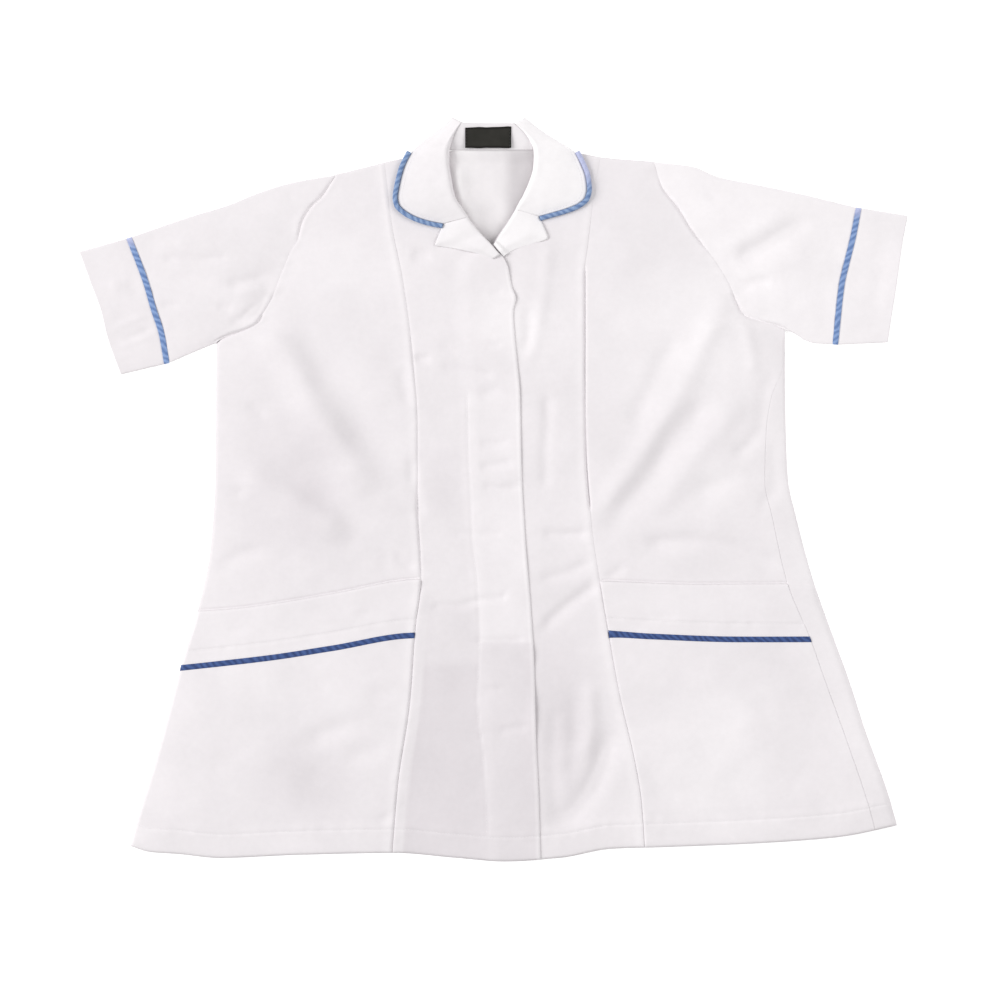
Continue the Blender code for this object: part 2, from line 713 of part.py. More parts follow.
def make_collar_back():
    """The collar across the back neck: its stand faces up, and its fall is folded under it."""
    depth = COLLAR_BACK_FOLD - COLLAR_BACK_SEAM
    top = COLLAR_BACK_HEIGHT
    profile = (
        (0.0, top * 0.72), (depth * 0.35, top * 0.86), (depth * 0.7, top), (depth - FOLD_ROUND, top * 0.97),
        (depth, top * 0.5), (depth - FOLD_ROUND, 0.0), (depth * 0.5, 0.0), (GAP, 0.0),
    )
    points = np.zeros((COLLAR_BACK_COLUMNS + 1, len(profile), 3))
    for j, (up_the_back, height) in enumerate(profile):
        y = COLLAR_BACK_SEAM + up_the_back
        right = smooth(COLLARS["right"]["roll_y"], COLLARS["right"]["roll_x"], y) + 2 * GAP
        left = smooth(COLLARS["left"]["roll_y"], COLLARS["left"]["roll_x"], y) - 2 * GAP
        points[:, j, 0] = np.linspace(right, left, len(points))
        points[:, j, 1] = y
        points[:, j, 2] = height
    sheet = grid(points)
    sheet.normal_update()
    sheet.faces.ensure_lookup_table()
    if sheet.faces[0].normal.z < 0:
        bmesh.ops.reverse_faces(sheet, faces=sheet.faces)
    cloth("collar_back", sheet, COLLAR_WALL, -1, CLOTH)


def make_label():
    """The bare woven label on the collar's stand."""
    x = np.linspace(-LABEL[0] / 2, LABEL[0] / 2, 5) + LABEL_MIDDLE[0]
    y = np.linspace(-LABEL[1] / 2, LABEL[1] / 2, 4) + LABEL_MIDDLE[1]
    points = np.zeros((4, 5, 3))
    points[:, :, 0] = x
    points[:, :, 1] = y[:, None]
    points[:, :, 2] = COLLAR_BACK_HEIGHT + GAP
    cloth("label", grid(points), LABEL_WALL, 1, LABEL_CLOTH)


for leftover in list(bpy.data.objects):
    bpy.data.objects.remove(leftover, do_unlink=True)
PARTS = bpy.data.collections.new("nurse_tunic")
bpy.context.scene.collection.children.link(PARTS)
CLOTH = material("white_polycotton", (0.87, 0.85, 0.86), 0.85)
TRIM = material("blue_trim", (0.09, 0.19, 0.45), 0.75)
LABEL_CLOTH = material("black_label", (0.03, 0.03, 0.025), 0.7)

make_back()
make_fronts()
for wearer_side in ("right", "left"):
    make_sleeve(wearer_side)
    rolled(f"collar_{wearer_side}", COLLARS[wearer_side], COLLAR_STEPS, PIPING_RADIUS + GAP)
    rolled(f"revers_{wearer_side}", REVERS[wearer_side], REVERS_STEPS, 0.0)
    make_piping(wearer_side)
make_collar_back()
make_label()
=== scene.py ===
"""The looks of a nurse's white tunic, laid flat with its front up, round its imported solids.

Lengths in the tables are millimetres, and right and left are the wearer's. Each section makes one
piece or a pair of them, in the order in which the tunic is put together.
"""

import bmesh
import bpy
import numpy as np
from mathutils import Matrix, Vector


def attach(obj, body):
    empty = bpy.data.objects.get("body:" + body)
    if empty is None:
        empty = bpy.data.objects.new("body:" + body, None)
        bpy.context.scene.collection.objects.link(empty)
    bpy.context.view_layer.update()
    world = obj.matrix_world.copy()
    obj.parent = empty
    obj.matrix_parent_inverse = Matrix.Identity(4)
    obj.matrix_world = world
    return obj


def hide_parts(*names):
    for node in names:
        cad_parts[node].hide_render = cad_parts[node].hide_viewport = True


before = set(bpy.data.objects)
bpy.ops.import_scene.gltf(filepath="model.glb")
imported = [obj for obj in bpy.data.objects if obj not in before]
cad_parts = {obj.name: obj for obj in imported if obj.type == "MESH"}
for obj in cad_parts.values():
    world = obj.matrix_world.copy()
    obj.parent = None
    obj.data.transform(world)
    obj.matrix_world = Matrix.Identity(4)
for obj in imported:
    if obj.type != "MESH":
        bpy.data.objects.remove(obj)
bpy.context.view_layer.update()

# The stage: a plain white table, lit a little from within, under a pale sky, with a broad soft box
# at the left that brings out the folds, and a weaker one at the right. The camera looks straight
# down, and its picture is a metre across.
MM = 0.001
FLOOR_HALF = 8.0
FLOOR_DROP = 0.0003
SKY_STRENGTH = 0.50
CAMERA_HEIGHT = 3.0
CAMERA_OVER = (0.0065, -0.0107)
CLOTH_LEVEL = 0.006  # the picture is a metre across at this height
PICTURE_LEFT, PICTURE_TOP = 493.5, 489.3  # how far its edges are from the middle of the tunic
SOFT_BOXES = (
    ("key_light", (-6.4, 0.6, 4.2), 4.5, 475.0),
    ("fill_light", (4.6, 1.4, 3.6), 3.0, 135.0),
)


def feed(tree, node, feeds):
    """Gives sockets of a shader node their values, or links them to what feeds them."""
    for socket, given in feeds.items():
        if isinstance(given, bpy.types.NodeSocket):
            tree.links.new(given, node.inputs[socket])
        else:
            node.inputs[socket].default_value = given


def finish_with(name, values):
    """A new material with the values of its surface, its node tree, and the surface."""
    finish = bpy.data.materials.new(name)
    finish.use_nodes = True
    surface = finish.node_tree.nodes["Principled BSDF"]
    feed(finish.node_tree, surface, values)
    return finish, finish.node_tree, surface


floor_mesh = bmesh.new()
bmesh.ops.create_grid(floor_mesh, x_segments=1, y_segments=1, size=FLOOR_HALF)
bmesh.ops.translate(floor_mesh, verts=floor_mesh.verts, vec=(0, 0, -FLOOR_DROP))
floor_data = bpy.data.meshes.new("floor")
floor_mesh.to_mesh(floor_data)
floor_mesh.free()
floor = bpy.data.objects.new("floor", floor_data)
bpy.context.scene.collection.objects.link(floor)
floor_data.materials.append(finish_with("matt_white_floor", {
    "Base Color": (0.85, 0.85, 0.845, 1), "Roughness": 0.95, "Specular IOR Level": 0.0,
    "Emission Color": (1, 1, 0.995, 1), "Emission Strength": 0.44,
})[0])

sky = bpy.data.worlds.new("pale_sky")
sky.use_nodes = True
feed(sky.node_tree, sky.node_tree.nodes["Background"], {"Color": (1, 1, 1, 1), "Strength": SKY_STRENGTH})
bpy.context.scene.world = sky
bpy.context.scene.view_settings.view_transform = "Standard"

for name, place, size, watts in SOFT_BOXES:
    light = bpy.data.lights.new(name, "AREA")
    light.energy = watts
    light.size = size
    lamp = bpy.data.objects.new(name, light)
    bpy.context.scene.collection.objects.link(lamp)
    lamp.location = place
    lamp.rotation_euler = (-Vector(place)).to_track_quat("-Z", "Y").to_euler()

lens = bpy.data.cameras.new("camera")
lens.sensor_width = 36.0
lens.lens = lens.sensor_width * (CAMERA_HEIGHT - CLOTH_LEVEL)
camera = bpy.data.objects.new("camera", lens)
bpy.context.scene.collection.objects.link(camera)
camera.location = (*CAMERA_OVER, CAMERA_HEIGHT)
bpy.context.scene.camera = camera


# The back: one panel of white polyester and cotton twill, cut from side seam to side seam, with its
# lower edge turned up twice. It lies inside up, and shows only inside the neck, where it is uneven.
def rows_of(text):
    """Rows of numbers, parted by commas."""
    return [tuple(map(float, row.split())) for row in text.split(",")]


def smooth_line(places):
    """A smooth line through places, which never overshoots them, as a function of the first number."""
    keys, values = np.array(rows_of(places) if isinstance(places, str) else list(places)).T
    step = np.diff(keys)
    slope = np.diff(values) / step
    product = slope[:-1] * slope[1:]
    mean = np.where(product > 0, 2 * product / (slope[:-1] + slope[1:] + (product <= 0)), 0)
    tangent = np.concatenate([slope[:1], mean, slope[-1:]])

    def value(at):
        at = np.asarray(at, float)
        i = np.clip(np.searchsorted(keys, at) - 1, 0, len(step) - 1)
        t = np.clip((at - keys[i]) / step[i], 0, 1)
        rise = (3 - 2 * t) * t * t
        lead = t * (1 - t) * ((1 - t) * tangent[i] - t * tangent[i + 1]) * step[i]
        return values[i] + (values[i + 1] - values[i]) * rise + lead

    return value


def ease(t):
    """0 below 0, 1 above 1, and a soft step between."""
    t = np.clip(t, 0, 1)
    return t * t * (3 - 2 * t)


def raised(line, up):
    """A line moved along by a distance."""
    return lambda at: line(at) + up


def between(first, second, shares, inset=(0.0, 0.0)):
    """Lines from one line to another, inset at both."""
    return [
        lambda at, share=share: (first(at) + inset[0]) * (1 - share) + (second(at) - inset[1]) * share
        for share in shares
    ]


def shares_of(length, pitch, close_at_start=False, close_at_end=False):
    """Shares of a length at about this pitch, and closer together at an end that has a seam."""
    close = np.array((0.0, 0.7, 1.4, 2.3, 3.5, 5.5))
    start = close if close_at_start else close[:1]
    end = length - close[::-1] if close_at_end else np.array((length,))
    inner = np.linspace(start[-1], end[0], max(2, int(round((end[0] - start[-1]) / pitch)) + 1))
    return np.concatenate([start[:-1], inner, end[1:]]) / length


def rows_up(*stages):
    """Rows of a panel from its foot upwards: in each stage from one line to another."""
    rows = []
    for lower, upper, shares in stages:
        rows += between(lower, upper, shares)[:-1]
    return rows + [stages[-1][1]]


def crossings(columns, rows):
    """Where each column, x as a function of y, crosses each row, y as a function of x."""
    y = np.stack([np.full(len(columns), float(row(0.0))) for row in rows])
    for _ in range(18):
        x = np.stack([column(y[:, j]) for j, column in enumerate(columns)], axis=1)
        y = np.stack([row(x[i]) for i, row in enumerate(rows)])
    return x, y


def uneven(x, y, size, seed):
    """A soft unevenness from -1 to 1: heights on a lattice of this size, joined smoothly."""
    wide, high = size if isinstance(size, tuple) else (size, size)
    across = 256
    heights = np.random.default_rng(seed).uniform(-1, 1, (across, across))
    u, v = np.asarray(x) / wide + across / 2, np.asarray(y) / high + across / 2
    i, j = np.floor(u).astype(int), np.floor(v).astype(int)
    s, t = ease(u - i), ease(v - j)
    i, j = i % (across - 1), j % (across - 1)
    low = heights[i, j] * (1 - s) + heights[i + 1, j] * s
    high_row = heights[i, j + 1] * (1 - s) + heights[i + 1, j + 1] * s
    return low * (1 - t) + high_row * t


def hump(away, width):
    """A soft hump, 1 where nothing is away, and less with the distance over a width."""
    return np.exp(-((away / width) ** 2))


def along_path(path, x, y):
    """How far places are from a path through points, given as x and y in turn, and how far along."""
    away, along, gone = np.full(np.shape(x), np.inf), np.zeros(np.shape(x)), 0.0
    for ax, ay, bx, by in zip(path[0::2], path[1::2], path[2::2], path[3::2]):
        dx, dy, length = bx - ax, by - ay, np.hypot(bx - ax, by - ay)
        t = np.clip(((x - ax) * dx + (y - ay) * dy) / length**2, 0, 1)
        here = np.hypot(x - ax - t * dx, y - ay - t * dy)
        along = np.where(here < away, gone + t * length, along)
        away, gone = np.minimum(away, here), gone + length
    return away, along, gone


def creases_of(text):
    """Creases: a half width, a height, and a path in millimetres from the camera picture's upper left."""
    return [
        [*row[:2], *(at - PICTURE_LEFT if k % 2 == 0 else PICTURE_TOP - at for k, at in enumerate(row[2:]))]
        for row in rows_of(text)
    ]


def relief(creases, x, y):
    """The height that creases add: each has a half width, a height and a path, and fades at its ends."""
    total = np.zeros(np.shape(x))
    for width, height, *path in creases:
        away, along, length = along_path(path, x, y)
        fade = min(2.2 * width, 0.4 * length)
        strength = 0.15 + 0.85 * ease(np.minimum(along, length - along) / fade)
        strength = strength * (1 + 0.2 * uneven(x, y, 27, 4))
        total = total + height * strength * hump(away, width)
    return total


def sheet_through(points):
    """An open sheet of quads through rows and columns of points, with its faces up."""
    rows, columns = points.shape[:2]
    sheet = bmesh.new()
    bmesh.ops.create_grid(sheet, x_segments=columns - 1, y_segments=rows - 1, size=1)
    for vertex, place in zip(sheet.verts, points.reshape(-1, 3) * MM):
        vertex.co = place
    return sheet


def piece_of(name, sheet, finish, stands_for, wall=None, side=-1):
    """A finished piece on the tunic: its mesh, its wall of cloth and its material."""
    data = bpy.data.meshes.new(name)
    sheet.to_mesh(data)
    sheet.free()
    data.shade_smooth()
    data.materials.append(finish)
    piece = bpy.data.objects.new(name, data)
    bpy.context.scene.collection.objects.link(piece)
    if wall:
        solidify = piece.modifiers.new("Cloth wall", "SOLIDIFY")
        solidify.thickness = wall * MM
        solidify.offset = side
        solidify.use_even_offset = False
    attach(piece, "root")
    if stands_for:
        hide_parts(*stands_for)
    return piece


def mark_tone_and_painted_light(piece, layers):
    """The tone of a piece, at each point or all over, from 0 to 1: on the cloth 0 for one thickness and 1
    for several lying together, with painted light and shade laid over it; on trims how pale; on the label
    its border.
    """
    kept = piece.data.attributes.new("layers", "FLOAT", "POINT")
    everywhere = np.broadcast_to(np.ravel(layers), len(piece.data.vertices))
    kept.data.foreach_set("value", np.array(everywhere, np.float32))


def wired(tree, kind, feeds=None, **traits):
    """A new shader node with its traits, and a value or a link for each socket that is fed."""
    made = tree.nodes.new("ShaderNode" + kind)
    for trait, value in traits.items():
        setattr(made, trait, value)
    feed(tree, made, feeds or {})
    return made


def pattern(tree, kind, vector, values, **traits):
    """The factor of a texture that a vector lays out."""
    made = wired(tree, "Tex" + kind, {"Vector": vector, **values}, **traits)
    return made.outputs["Factor" if "Factor" in made.outputs else "Fac"]


def mixed(tree, first, second, factor, data_type="FLOAT", blend_type="MIX"):
    """Two values, or two colours, mixed by a factor."""
    feeds = {"A": first, "B": second, "Factor": factor}
    return wired(tree, "Mix", feeds, data_type=data_type, blend_type=blend_type).outputs["Result"]


def bumped(tree, height, strength, distance):
    """A normal raised by a height."""
    feeds = {"Height": height, "Strength": strength, "Distance": distance}
    return wired(tree, "Bump", feeds).outputs["Normal"]


def node_group(name, *outputs):
    """A shader node group that turns a vector into values: the group, its vector and its output."""
    group = bpy.data.node_groups.new(name, "ShaderNodeTree")
    group.interface.new_socket(name="Vector", in_out="INPUT", socket_type="NodeSocketVector")
    for socket in outputs:
        group.interface.new_socket(name=socket, in_out="OUTPUT", socket_type="NodeSocketFloat")
    return group, group.nodes.new("NodeGroupInput").outputs["Vector"], group.nodes.new("NodeGroupOutput")


def twill_group():
    """Twill: diagonal ribs across fine threads, soft crinkles, and a slightly uneven white."""
    group, vector, out = node_group("twill", "Height", "Tone")

    def noise(scale, detail):
        return pattern(group, "Noise", vector, {"Scale": scale, "Detail": detail, "Roughness": 0.55})

    ribs = pattern(group, "Wave", vector, {"Scale": 700, "Distortion": 0.4}, bands_direction="DIAGONAL")
    threads = mixed(group, ribs, pattern(group, "Wave", vector, {"Scale": 560, "Distortion": 0.3}), 0.35)
    crinkles = mixed(group, noise(95, 4), noise(260, 3), 0.35)
    feed(group, out, {
        "Height": mixed(group, crinkles, threads, 0.10),
        "Tone": mixed(group, noise(16, 2), noise(170, 4), 0.35),
    })
    return group


TWILL = twill_group()


def cloth_finish(name, one_layer_and_painted_shade, many_layers_and_painted_light, grain=0.0, bump=0.32):
    """White twill of a piece: its colour in one layer and in several, the two whites its painted light and
    shade are mixed between, and the turn of its grain.
    """
    finish, tree, surface = finish_with(name, {
        "Roughness": 0.92, "Specular IOR Level": 0.12, "Sheen Weight": 0.04, "Sheen Roughness": 0.45,
    })
    place = wired(tree, "TexCoord").outputs["Object"]
    turned = wired(tree, "Mapping", {"Vector": place, "Rotation": (0, 0, grain)}).outputs["Vector"]
    twill = wired(tree, "Group", {"Vector": turned}, node_tree=TWILL)
    # The tone attribute mixes the two whites, for layers of cloth and for painted light and painted shade.
    layers = wired(tree, "Attribute", attribute_name="layers").outputs["Fac"]
    white = mixed(tree, (*one_layer_and_painted_shade, 1), (*many_layers_and_painted_light, 1), layers, "RGBA")
    tone = wired(tree, "MapRange", {
        "Value": twill.outputs["Tone"], "From Min": 0.3, "From Max": 0.7, "To Min": 0.955, "To Max": 1.03,
    }).outputs["Result"]
    feed(tree, surface, {
        "Base Color": mixed(tree, white, tone, 1.0, "RGBA", "MULTIPLY"),
        "Normal": bumped(tree, twill.outputs["Height"], bump, 0.0006),
    })
    return finish


side_right = smooth_line("""
    -357 -364, -324 -354.5, -261 -335.5, -179 -313.5, -126 -297.5, -60 -283.5, 17 -278.5, 93 -278,
    147 -277.5, 160 -249.5, 166 -236.5, 176 -231, 195 -220.5, 213 -213.5, 238 -203.5, 250 -196,
    266 -192.5, 282 -183.5, 293 -172, 315 -158.5
""")
side_left = smooth_line("""
    -336 404, -303 394.5, -245 373.5, -187 354.5, -138 336.5, -86 318.5, -26 302.5, 8 295, 31 293.5,
    89 292, 160 291.5, 167 272.5, 174 251.5, 189 242.5, 204 236.5, 226 223.5, 241 212.5, 258 199.5,
    282 184.5, 304 168, 328 160.5
""")
hem = smooth_line("""
    -364 -357, -344 -363, -316 -365, -274 -369, -200 -366, -101 -364, -38 -369, 10 -372.5, 67 -369,
    118 -360, 175 -358, 270 -354, 346 -348, 404 -336.5
""")
underarm = smooth_line("-277.5 147, -100 150, 100 158, 291.5 160")
shoulder = smooth_line("""
    -158.5 315, -121.5 324, -97 330, -40 337, 40 338, 83.5 336.5, 110.5 332, 160.5 328
""")
BACK_WALL = 1.2
HEM_DEPTH = 24.0
NECK_SEAM, NECK_HALF = 339.4, 46
NECK_FOLDS = rows_of("""
    9 4.6 -39 334 -36 316 -34 300 -28 284 -19 268 -8 252,
    9 2.6 37 338 35 322 32 308 27 294 20 280 10 262,
    13 1.2 -8 340 -2 318 1 290 0 256,
    6 1.6 -37 318 -34 300 -27 282,
    6 -1.2 -22 316 -25 296 -20 276,
    8 -1.6 24 336 30 322 26 304 16 280
""")


def neck_line(x):
    """The back's upper edge: the shoulders, and between them the seam of the collar's stand."""
    return shoulder(x) + (NECK_SEAM - shoulder(x)) * ease((NECK_HALF - np.abs(x)) / 6)


back_x, back_y = crossings(
    between(side_right, side_left, np.concatenate([
        np.linspace(0, 0.39, 34)[:-1], np.linspace(0.39, 0.53, 46), np.linspace(0.53, 1, 40)[1:],
    ])),
    rows_up(
        (hem, raised(hem, HEM_DEPTH), shares_of(HEM_DEPTH, 6)),
        (raised(hem, HEM_DEPTH), underarm, shares_of(490, 9)),
        (underarm, neck_line, shares_of(175, 2.4)),
    ),
)
in_neck = ease((back_y - 225) / 30) * ease((NECK_HALF - np.abs(back_x)) / 6)
back_lift = in_neck * np.maximum(
    relief(NECK_FOLDS, back_x, back_y) * ease((345 - back_y) / 14)
    + 0.5 + 0.5 * uneven(back_x, back_y, 12, 3), 0
) + 3.4 * in_neck * ease((back_y - 326) / 13)
back = piece_of(
    "back_panel",
    sheet_through(np.stack([back_x, back_y, back_lift], axis=2)),
    cloth_finish("twill_inside", (0.60, 0.57, 0.585), (0.92, 0.89, 0.90)),
    ("back",), BACK_WALL, 1,
)
# Painted shade inside the neck: the inside's white goes towards its dull end across the middle and the
# wearer's left, and most high on the wearer's left, under that roll of the collar, where the roll shades
# it.
mark_tone_and_painted_light(
    back, 1 - 0.4 * ease((back_x + 34) / 26) - 0.5 * ease((back_x - 6) / 16) * ease((back_y - 255) / 30)
)

# The fronts: each is a side panel and a centre panel of the same twill, joined by a long princess
# seam from the shoulder to the hem. The right front laps over the left one, and its edge is faced.
WALL = 1.2  # what the solids' cloth measures
CLOTH = 0.8  # what shows of it, with its top in the same place
GAP = 0.3
UNDER_FRONT = 1.8
LOFT, LOFT_REACH = 4.0, 35.0
HEM_RISE = 0.8
SEAM_SINK = 2.0  # a seam sinks no deeper than this, above the back
OVERLAP, OVERLAP_RAMP, LEAST_STRIP = 42.0, 20.0, 12.0
seam_line_left = smooth_line("""
    -345 383, -316 375, -245 351, -187 330, -150 317, -94 294, -26 278.5, 8 271.5, 60 273, 110 282,
    160 291.5
""")
princess_right = smooth_line("""
    -357 -101, -294 -95.5, -211 -83.5, -142 -78.5, -88 -72.5, -12 -76, 62 -76, 139 -81.5, 208 -90.5,
    263 -101.5, 327 -109.5
""")
princess_left = smooth_line("""
    -359 151.5, -312 148, -275 142, -202 125.5, -135 113.5, -99 107.5, -38 98.5, 42 92.5, 106 91.5,
    221 91.5, 244 94.5, 297 100.5, 332 106.5
""")
front_edge = smooth_line("""
    -372 47, -311 45.5, -244 42.5, -181 41, -119 37.5, -58 32.5, 29 28, 98 26.5, 131 23.5, 177 20,
    190 22.5, 203 18.5, 222 14.5, 233 9, 243 -1.5, 259 -15.5, 274 -27.5, 288 -37, 306 -41.5, 338 -44
""")
neck_edge_left = smooth_line("""
    200 -22.8, 222 -21, 233 -14, 243 -3, 258 7.5, 271 16.5, 290 27.5, 305 35, 320 39.5, 341 41
""")
placket_stitch = smooth_line("""
    -345 -6.5, -311 -7.5, -269 -10.5, -211 -16.5, -150 -14, -111 -15.5, -43 -21.5, 3 -23.5, 49 -26,
    97 -26.5
""")
trim_line = smooth_line("""
    -320 -179.5, -275 -174.5, -220 -168, -162 -159, -79 -146, 114 -144.7, 157 -147, 247 -150, 345 -150
""")
pocket_top = smooth_line("""
    -300 -122, -265 -119.7, -208 -112.3, -162 -104.3, -72 -89.7, 109 -91.7, 202 -94.7, 325 -94
""")
FRONT_FOLDS = creases_of("""
    11 -1 682 330 664 358 652 385 640 410 630 432,
    11 1.2 733 290 713 325 695 365 674 405 656 430 645 448 630 470 614 492 600 512,
    12 -1.2 712 392 690 424 670 448 655 472 640 490 620 512 604 532,
    12 1 745 395 720 430 700 450 680 478 660 505 640 522,
    10 -0.9 748 474 724 481 706 490 694 504,
    7 -1 778 366 765 390 763 410 761 430 747 447 730 457,
    7 0.9 741 308 748 335 754 362 752 380,
    7 -1 774 440 777 470 776 488 766 502 758 516,
    9 -1.3 640 545 665 542 700 541 735 549 765 561 785 568,
    5 -0.8 603 578 616 573 627 565,
    5 -1 540 534 562 535 590 533,
    6 -0.7 537 579 552 577 568 573 583 566 594 560,
    6 -0.9 541 632 553 618 565 607 578 598 592 588 600 582,
    12 -1.7 613 720 608 745 600 770 590 790 577 808 562 822 548 830,
    10 -0.9 575 690 575 740 570 785,
    8 -0.7 555 705 553 760 556 830,
    8 0.8 590 680 592 730 583 765,
    10 -0.5 688 738 705 752 722 770,
    7 -0.8 527 305 530 325 529 340 524 358,
    7 0.45 549 240 545 285 541 312 534 342 526 368,
    6 -0.6 546 392 548 420 545 450 546 492,
    18 2.8 255.5 311.3 268 330 290 362 309 396 326 424 343 450 360 474 375 500,
    17 -0.35 293.5 311.3 308 335 328 365 347 395 364 425 377 452 386 480,
    16 2.8 227.5 462.3 235 468 258 482 282 497 306 512 332 527 356 542,
    17 -0.4 253.5 447.3 262 455 285 468 310 483 335 500 360 518 378 535,
    6 -0.9 244 402 256 409 268 420,
    7 -0.9 213 560 224 563 240 554 266 550,
    7 -0.7 236 485 238 500,
    7 -0.7 400 365 405 388 410 408,
    7 -0.35 384 535 385 560 385 580,
    5 -0.8 392 552 404 562 418 570,
    5 -0.6 411 455 413 480 417 497 421 520,
    10 -0.9 303 744 322 734 344 727 360 722,
    9 -0.6 362 694 385 692 405 690,
    10 -0.6 340 762 365 752 395 748,
    9 -0.35 308 788 318 775 326 767,
    5 -1.1 142 824 155 827 168 830,
    6 -0.8 375 826 388 817 397 812,
    8 -0.8 408 254 422 255 434 252
""")
# Short creases: across the placket, by the seams and at the hem.
SHORT_CREASES = creases_of("""
    4 -1 412 358 422 359 434 360,
    6 -0.8 438 364 455 370 475 374 498 377,
    5 -0.5 438 342 450 350 460 357,
    7 -0.6 504 384 490 391 476 399,
    3.5 -0.7 486 292 505 293,
    3.5 -0.5 484 345 505 345,
    4 -0.6 478 444 495 444 512 442,
    4 -0.7 478 467 498 465 516 461,
    4.5 -0.9 480 485 500 489 522 488,
    3.5 -0.8 430 606 460 606 480 600 502 598 508 590,
    3.5 -0.8 472 641 500 641 526 640,
    4 -0.6 496 731 512 729 530 726,
    3 -0.5 482 690 505 689,
    3.5 -0.4 452 534 480 534 505 533,
    6 -0.5 655 820 700 821 750 817 790 820,
    4 -0.7 655 812 656 824,
    2.6 -0.8 624 832 624 850,
    2.6 -0.7 665 828 665 846,
    4 -0.4 236 492 246 491
""")


def seam_left(y):
    """The left side seam, which reaches the outline a little way below the arm."""
    to_outline = ease((y - 92) / 46)
    return seam_line_left(y) * (1 - to_outline) + side_left(y) * to_outline


def under_edge(y):
    return np.where(y < 200, front_edge(y) - OVERLAP, neck_edge_left(y))


def right_strip(y):
    return np.minimum(under_edge(y), front_edge(y) - LEAST_STRIP)


def left_strip(y):
    return np.maximum(front_edge(y), under_edge(y) + LEAST_STRIP)


def dip(away, depth, half_width=1.4):
    """A narrow trough along a seam or a row of stitches."""
    return -depth * hump(away, half_width)


def puckers(along, away, pitch, height, reach, seed):
    """The cloth's small waves along a row of stitches."""
    return height * uneven(along, away / 3, (pitch, 6.0), seed) * hump(away, reach)


def inside_outline(x, y):
    """How far a place is from the side seams and armholes, and from the hem and shoulders."""
    sides = np.minimum(x - side_right(y), side_left(y) - x)
    return np.maximum(sides, 0), np.maximum(np.minimum(shoulder(x) - y, y - hem(x)), 0)


# How deep each seam lies, by its height on the garment: deep where the cloth folds along it.
depth_of_right_princess = smooth_line("""
    -357 0.3, -310 0.4, -250 0.5, -190 0.5, -150 0.3, -90 0.5, -50 1.3, -20 1.1, 30 0.5, 90 0.6,
    132 0.9, 160 0.4, 240 0.25, 327 0.1
""")
depth_of_left_princess = smooth_line("""
    -359 0.2, -240 0.3, -150 0.1, -92 0.3, -60 0.1, -22 0.2, -14 2.3, 20 2, 70 1.3, 110 1.9, 215 1.7,
    226 0.1, 332 0
""")
depth_of_right_armhole = smooth_line("""
    147 1.4, 157 1.3, 164 0.4, 170 1.8, 177 0.3, 200 0.2, 248 0.2, 258 1.6, 290 1.9, 306 1.8, 315 0.4
""")
depth_of_left_armhole = smooth_line("""
    158 0.9, 170 1.2, 180 1.9, 194 1.7, 200 0.3, 238 0.1, 246 1.6, 268 1.9, 290 1.8, 306 0.8, 312 0.1,
    328 0.1
""")
ARMHOLES = [
    (np.stack([side(y), y], axis=1).ravel(), depth)
    for side, depth, y in (
        (side_right, depth_of_right_armhole, np.linspace(147, 315, 44)),
        (side_left, depth_of_left_armhole, np.linspace(160, 328, 44)),
    )
]


def armhole_dip(x, y):
    """How far the cloth sinks to an armhole's seam, on the front and on the sleeve alike."""
    total = np.zeros(np.shape(x))
    near = (y > 130) & (np.abs(x) > 130)
    for path, depth in ARMHOLES:
        away = along_path(path, x[near], y[near])[0]
        total[near] += dip(away, depth(y[near]), 1.5) + puckers(y[near], away, 6, 0.7, 7, 8)
    return np.maximum(total, -SEAM_SINK)


def front_top(x, y):
    """The fronts' upper face: loft, folds and creases, a thicker hem, and a trough at each seam."""
    sides, ends = inside_outline(x, y)
    share = 1 - np.exp(-np.minimum(sides, ends) / LOFT_REACH)
    waves = 2.5 * relief(FRONT_FOLDS, x, y) + 2.0 * relief(SHORT_CREASES, x, y)
    waves = waves * ease(np.minimum(sides, ends) / 14)
    waves = waves + 0.55 * uneven(x, y, 46, 1) + 0.3 * uneven(x, y, (17, 13), 2)
    stitched = y - hem(x) - HEM_DEPTH
    from_right, from_left = x - princess_right(y), x - princess_left(y)
    from_pocket_side = np.maximum(-from_right, from_left)
    seams = (
        dip(from_right, depth_of_right_princess(y), 1.1) - 0.2 * ease(from_right / 0.4)
        * hump(from_right, 3) + 0.3 * hump(from_right + 3.4, 1.9)
        + dip(from_left, depth_of_left_princess(y), 1.1) - 0.1 * ease(from_left / 0.4)
        * hump(from_left, 3) + 0.25 * hump(from_left + 3.2, 1.8)
        + dip(np.where(y < 0, y - pocket_top(x) - 0.9, 99), 1.0, 1.1) * ease(from_pocket_side / 4)
        + dip(stitched, 0.3, 1.1) + 0.1 * hump(stitched + 2.6, 1.6)
        + puckers(y, from_right, 7, 0.30, 7, 5) + puckers(y, from_left, 8, 0.26, 7, 6)
        + puckers(x, stitched, 6, 0.34, 8, 7)
    )
    thick = HEM_RISE * ease(1 - (stitched - 4) / 4) * share
    beside = ease((-96 - y) / 10)
    thick = thick + 1.3 * beside * ease(from_right / 0.3) * hump(from_right, 9) * (x < 0)
    thick = thick + 0.9 * beside * ease(-from_left / 0.3) * hump(from_left, 9) * (x > 0)
    return (
        UNDER_FRONT + WALL + share * np.maximum(LOFT + waves, 0) + thick
        + seams * ease(np.minimum(sides, ends) / 5 + 0.3)
        + dip(np.where(y < 150, sides, 99), 0.7, 1.6) + dip(ends, 0.6, 1.4) + armhole_dip(x, y)
        + 0.45 * ease((y - 150) / 12) * hump(sides, 5)
    )


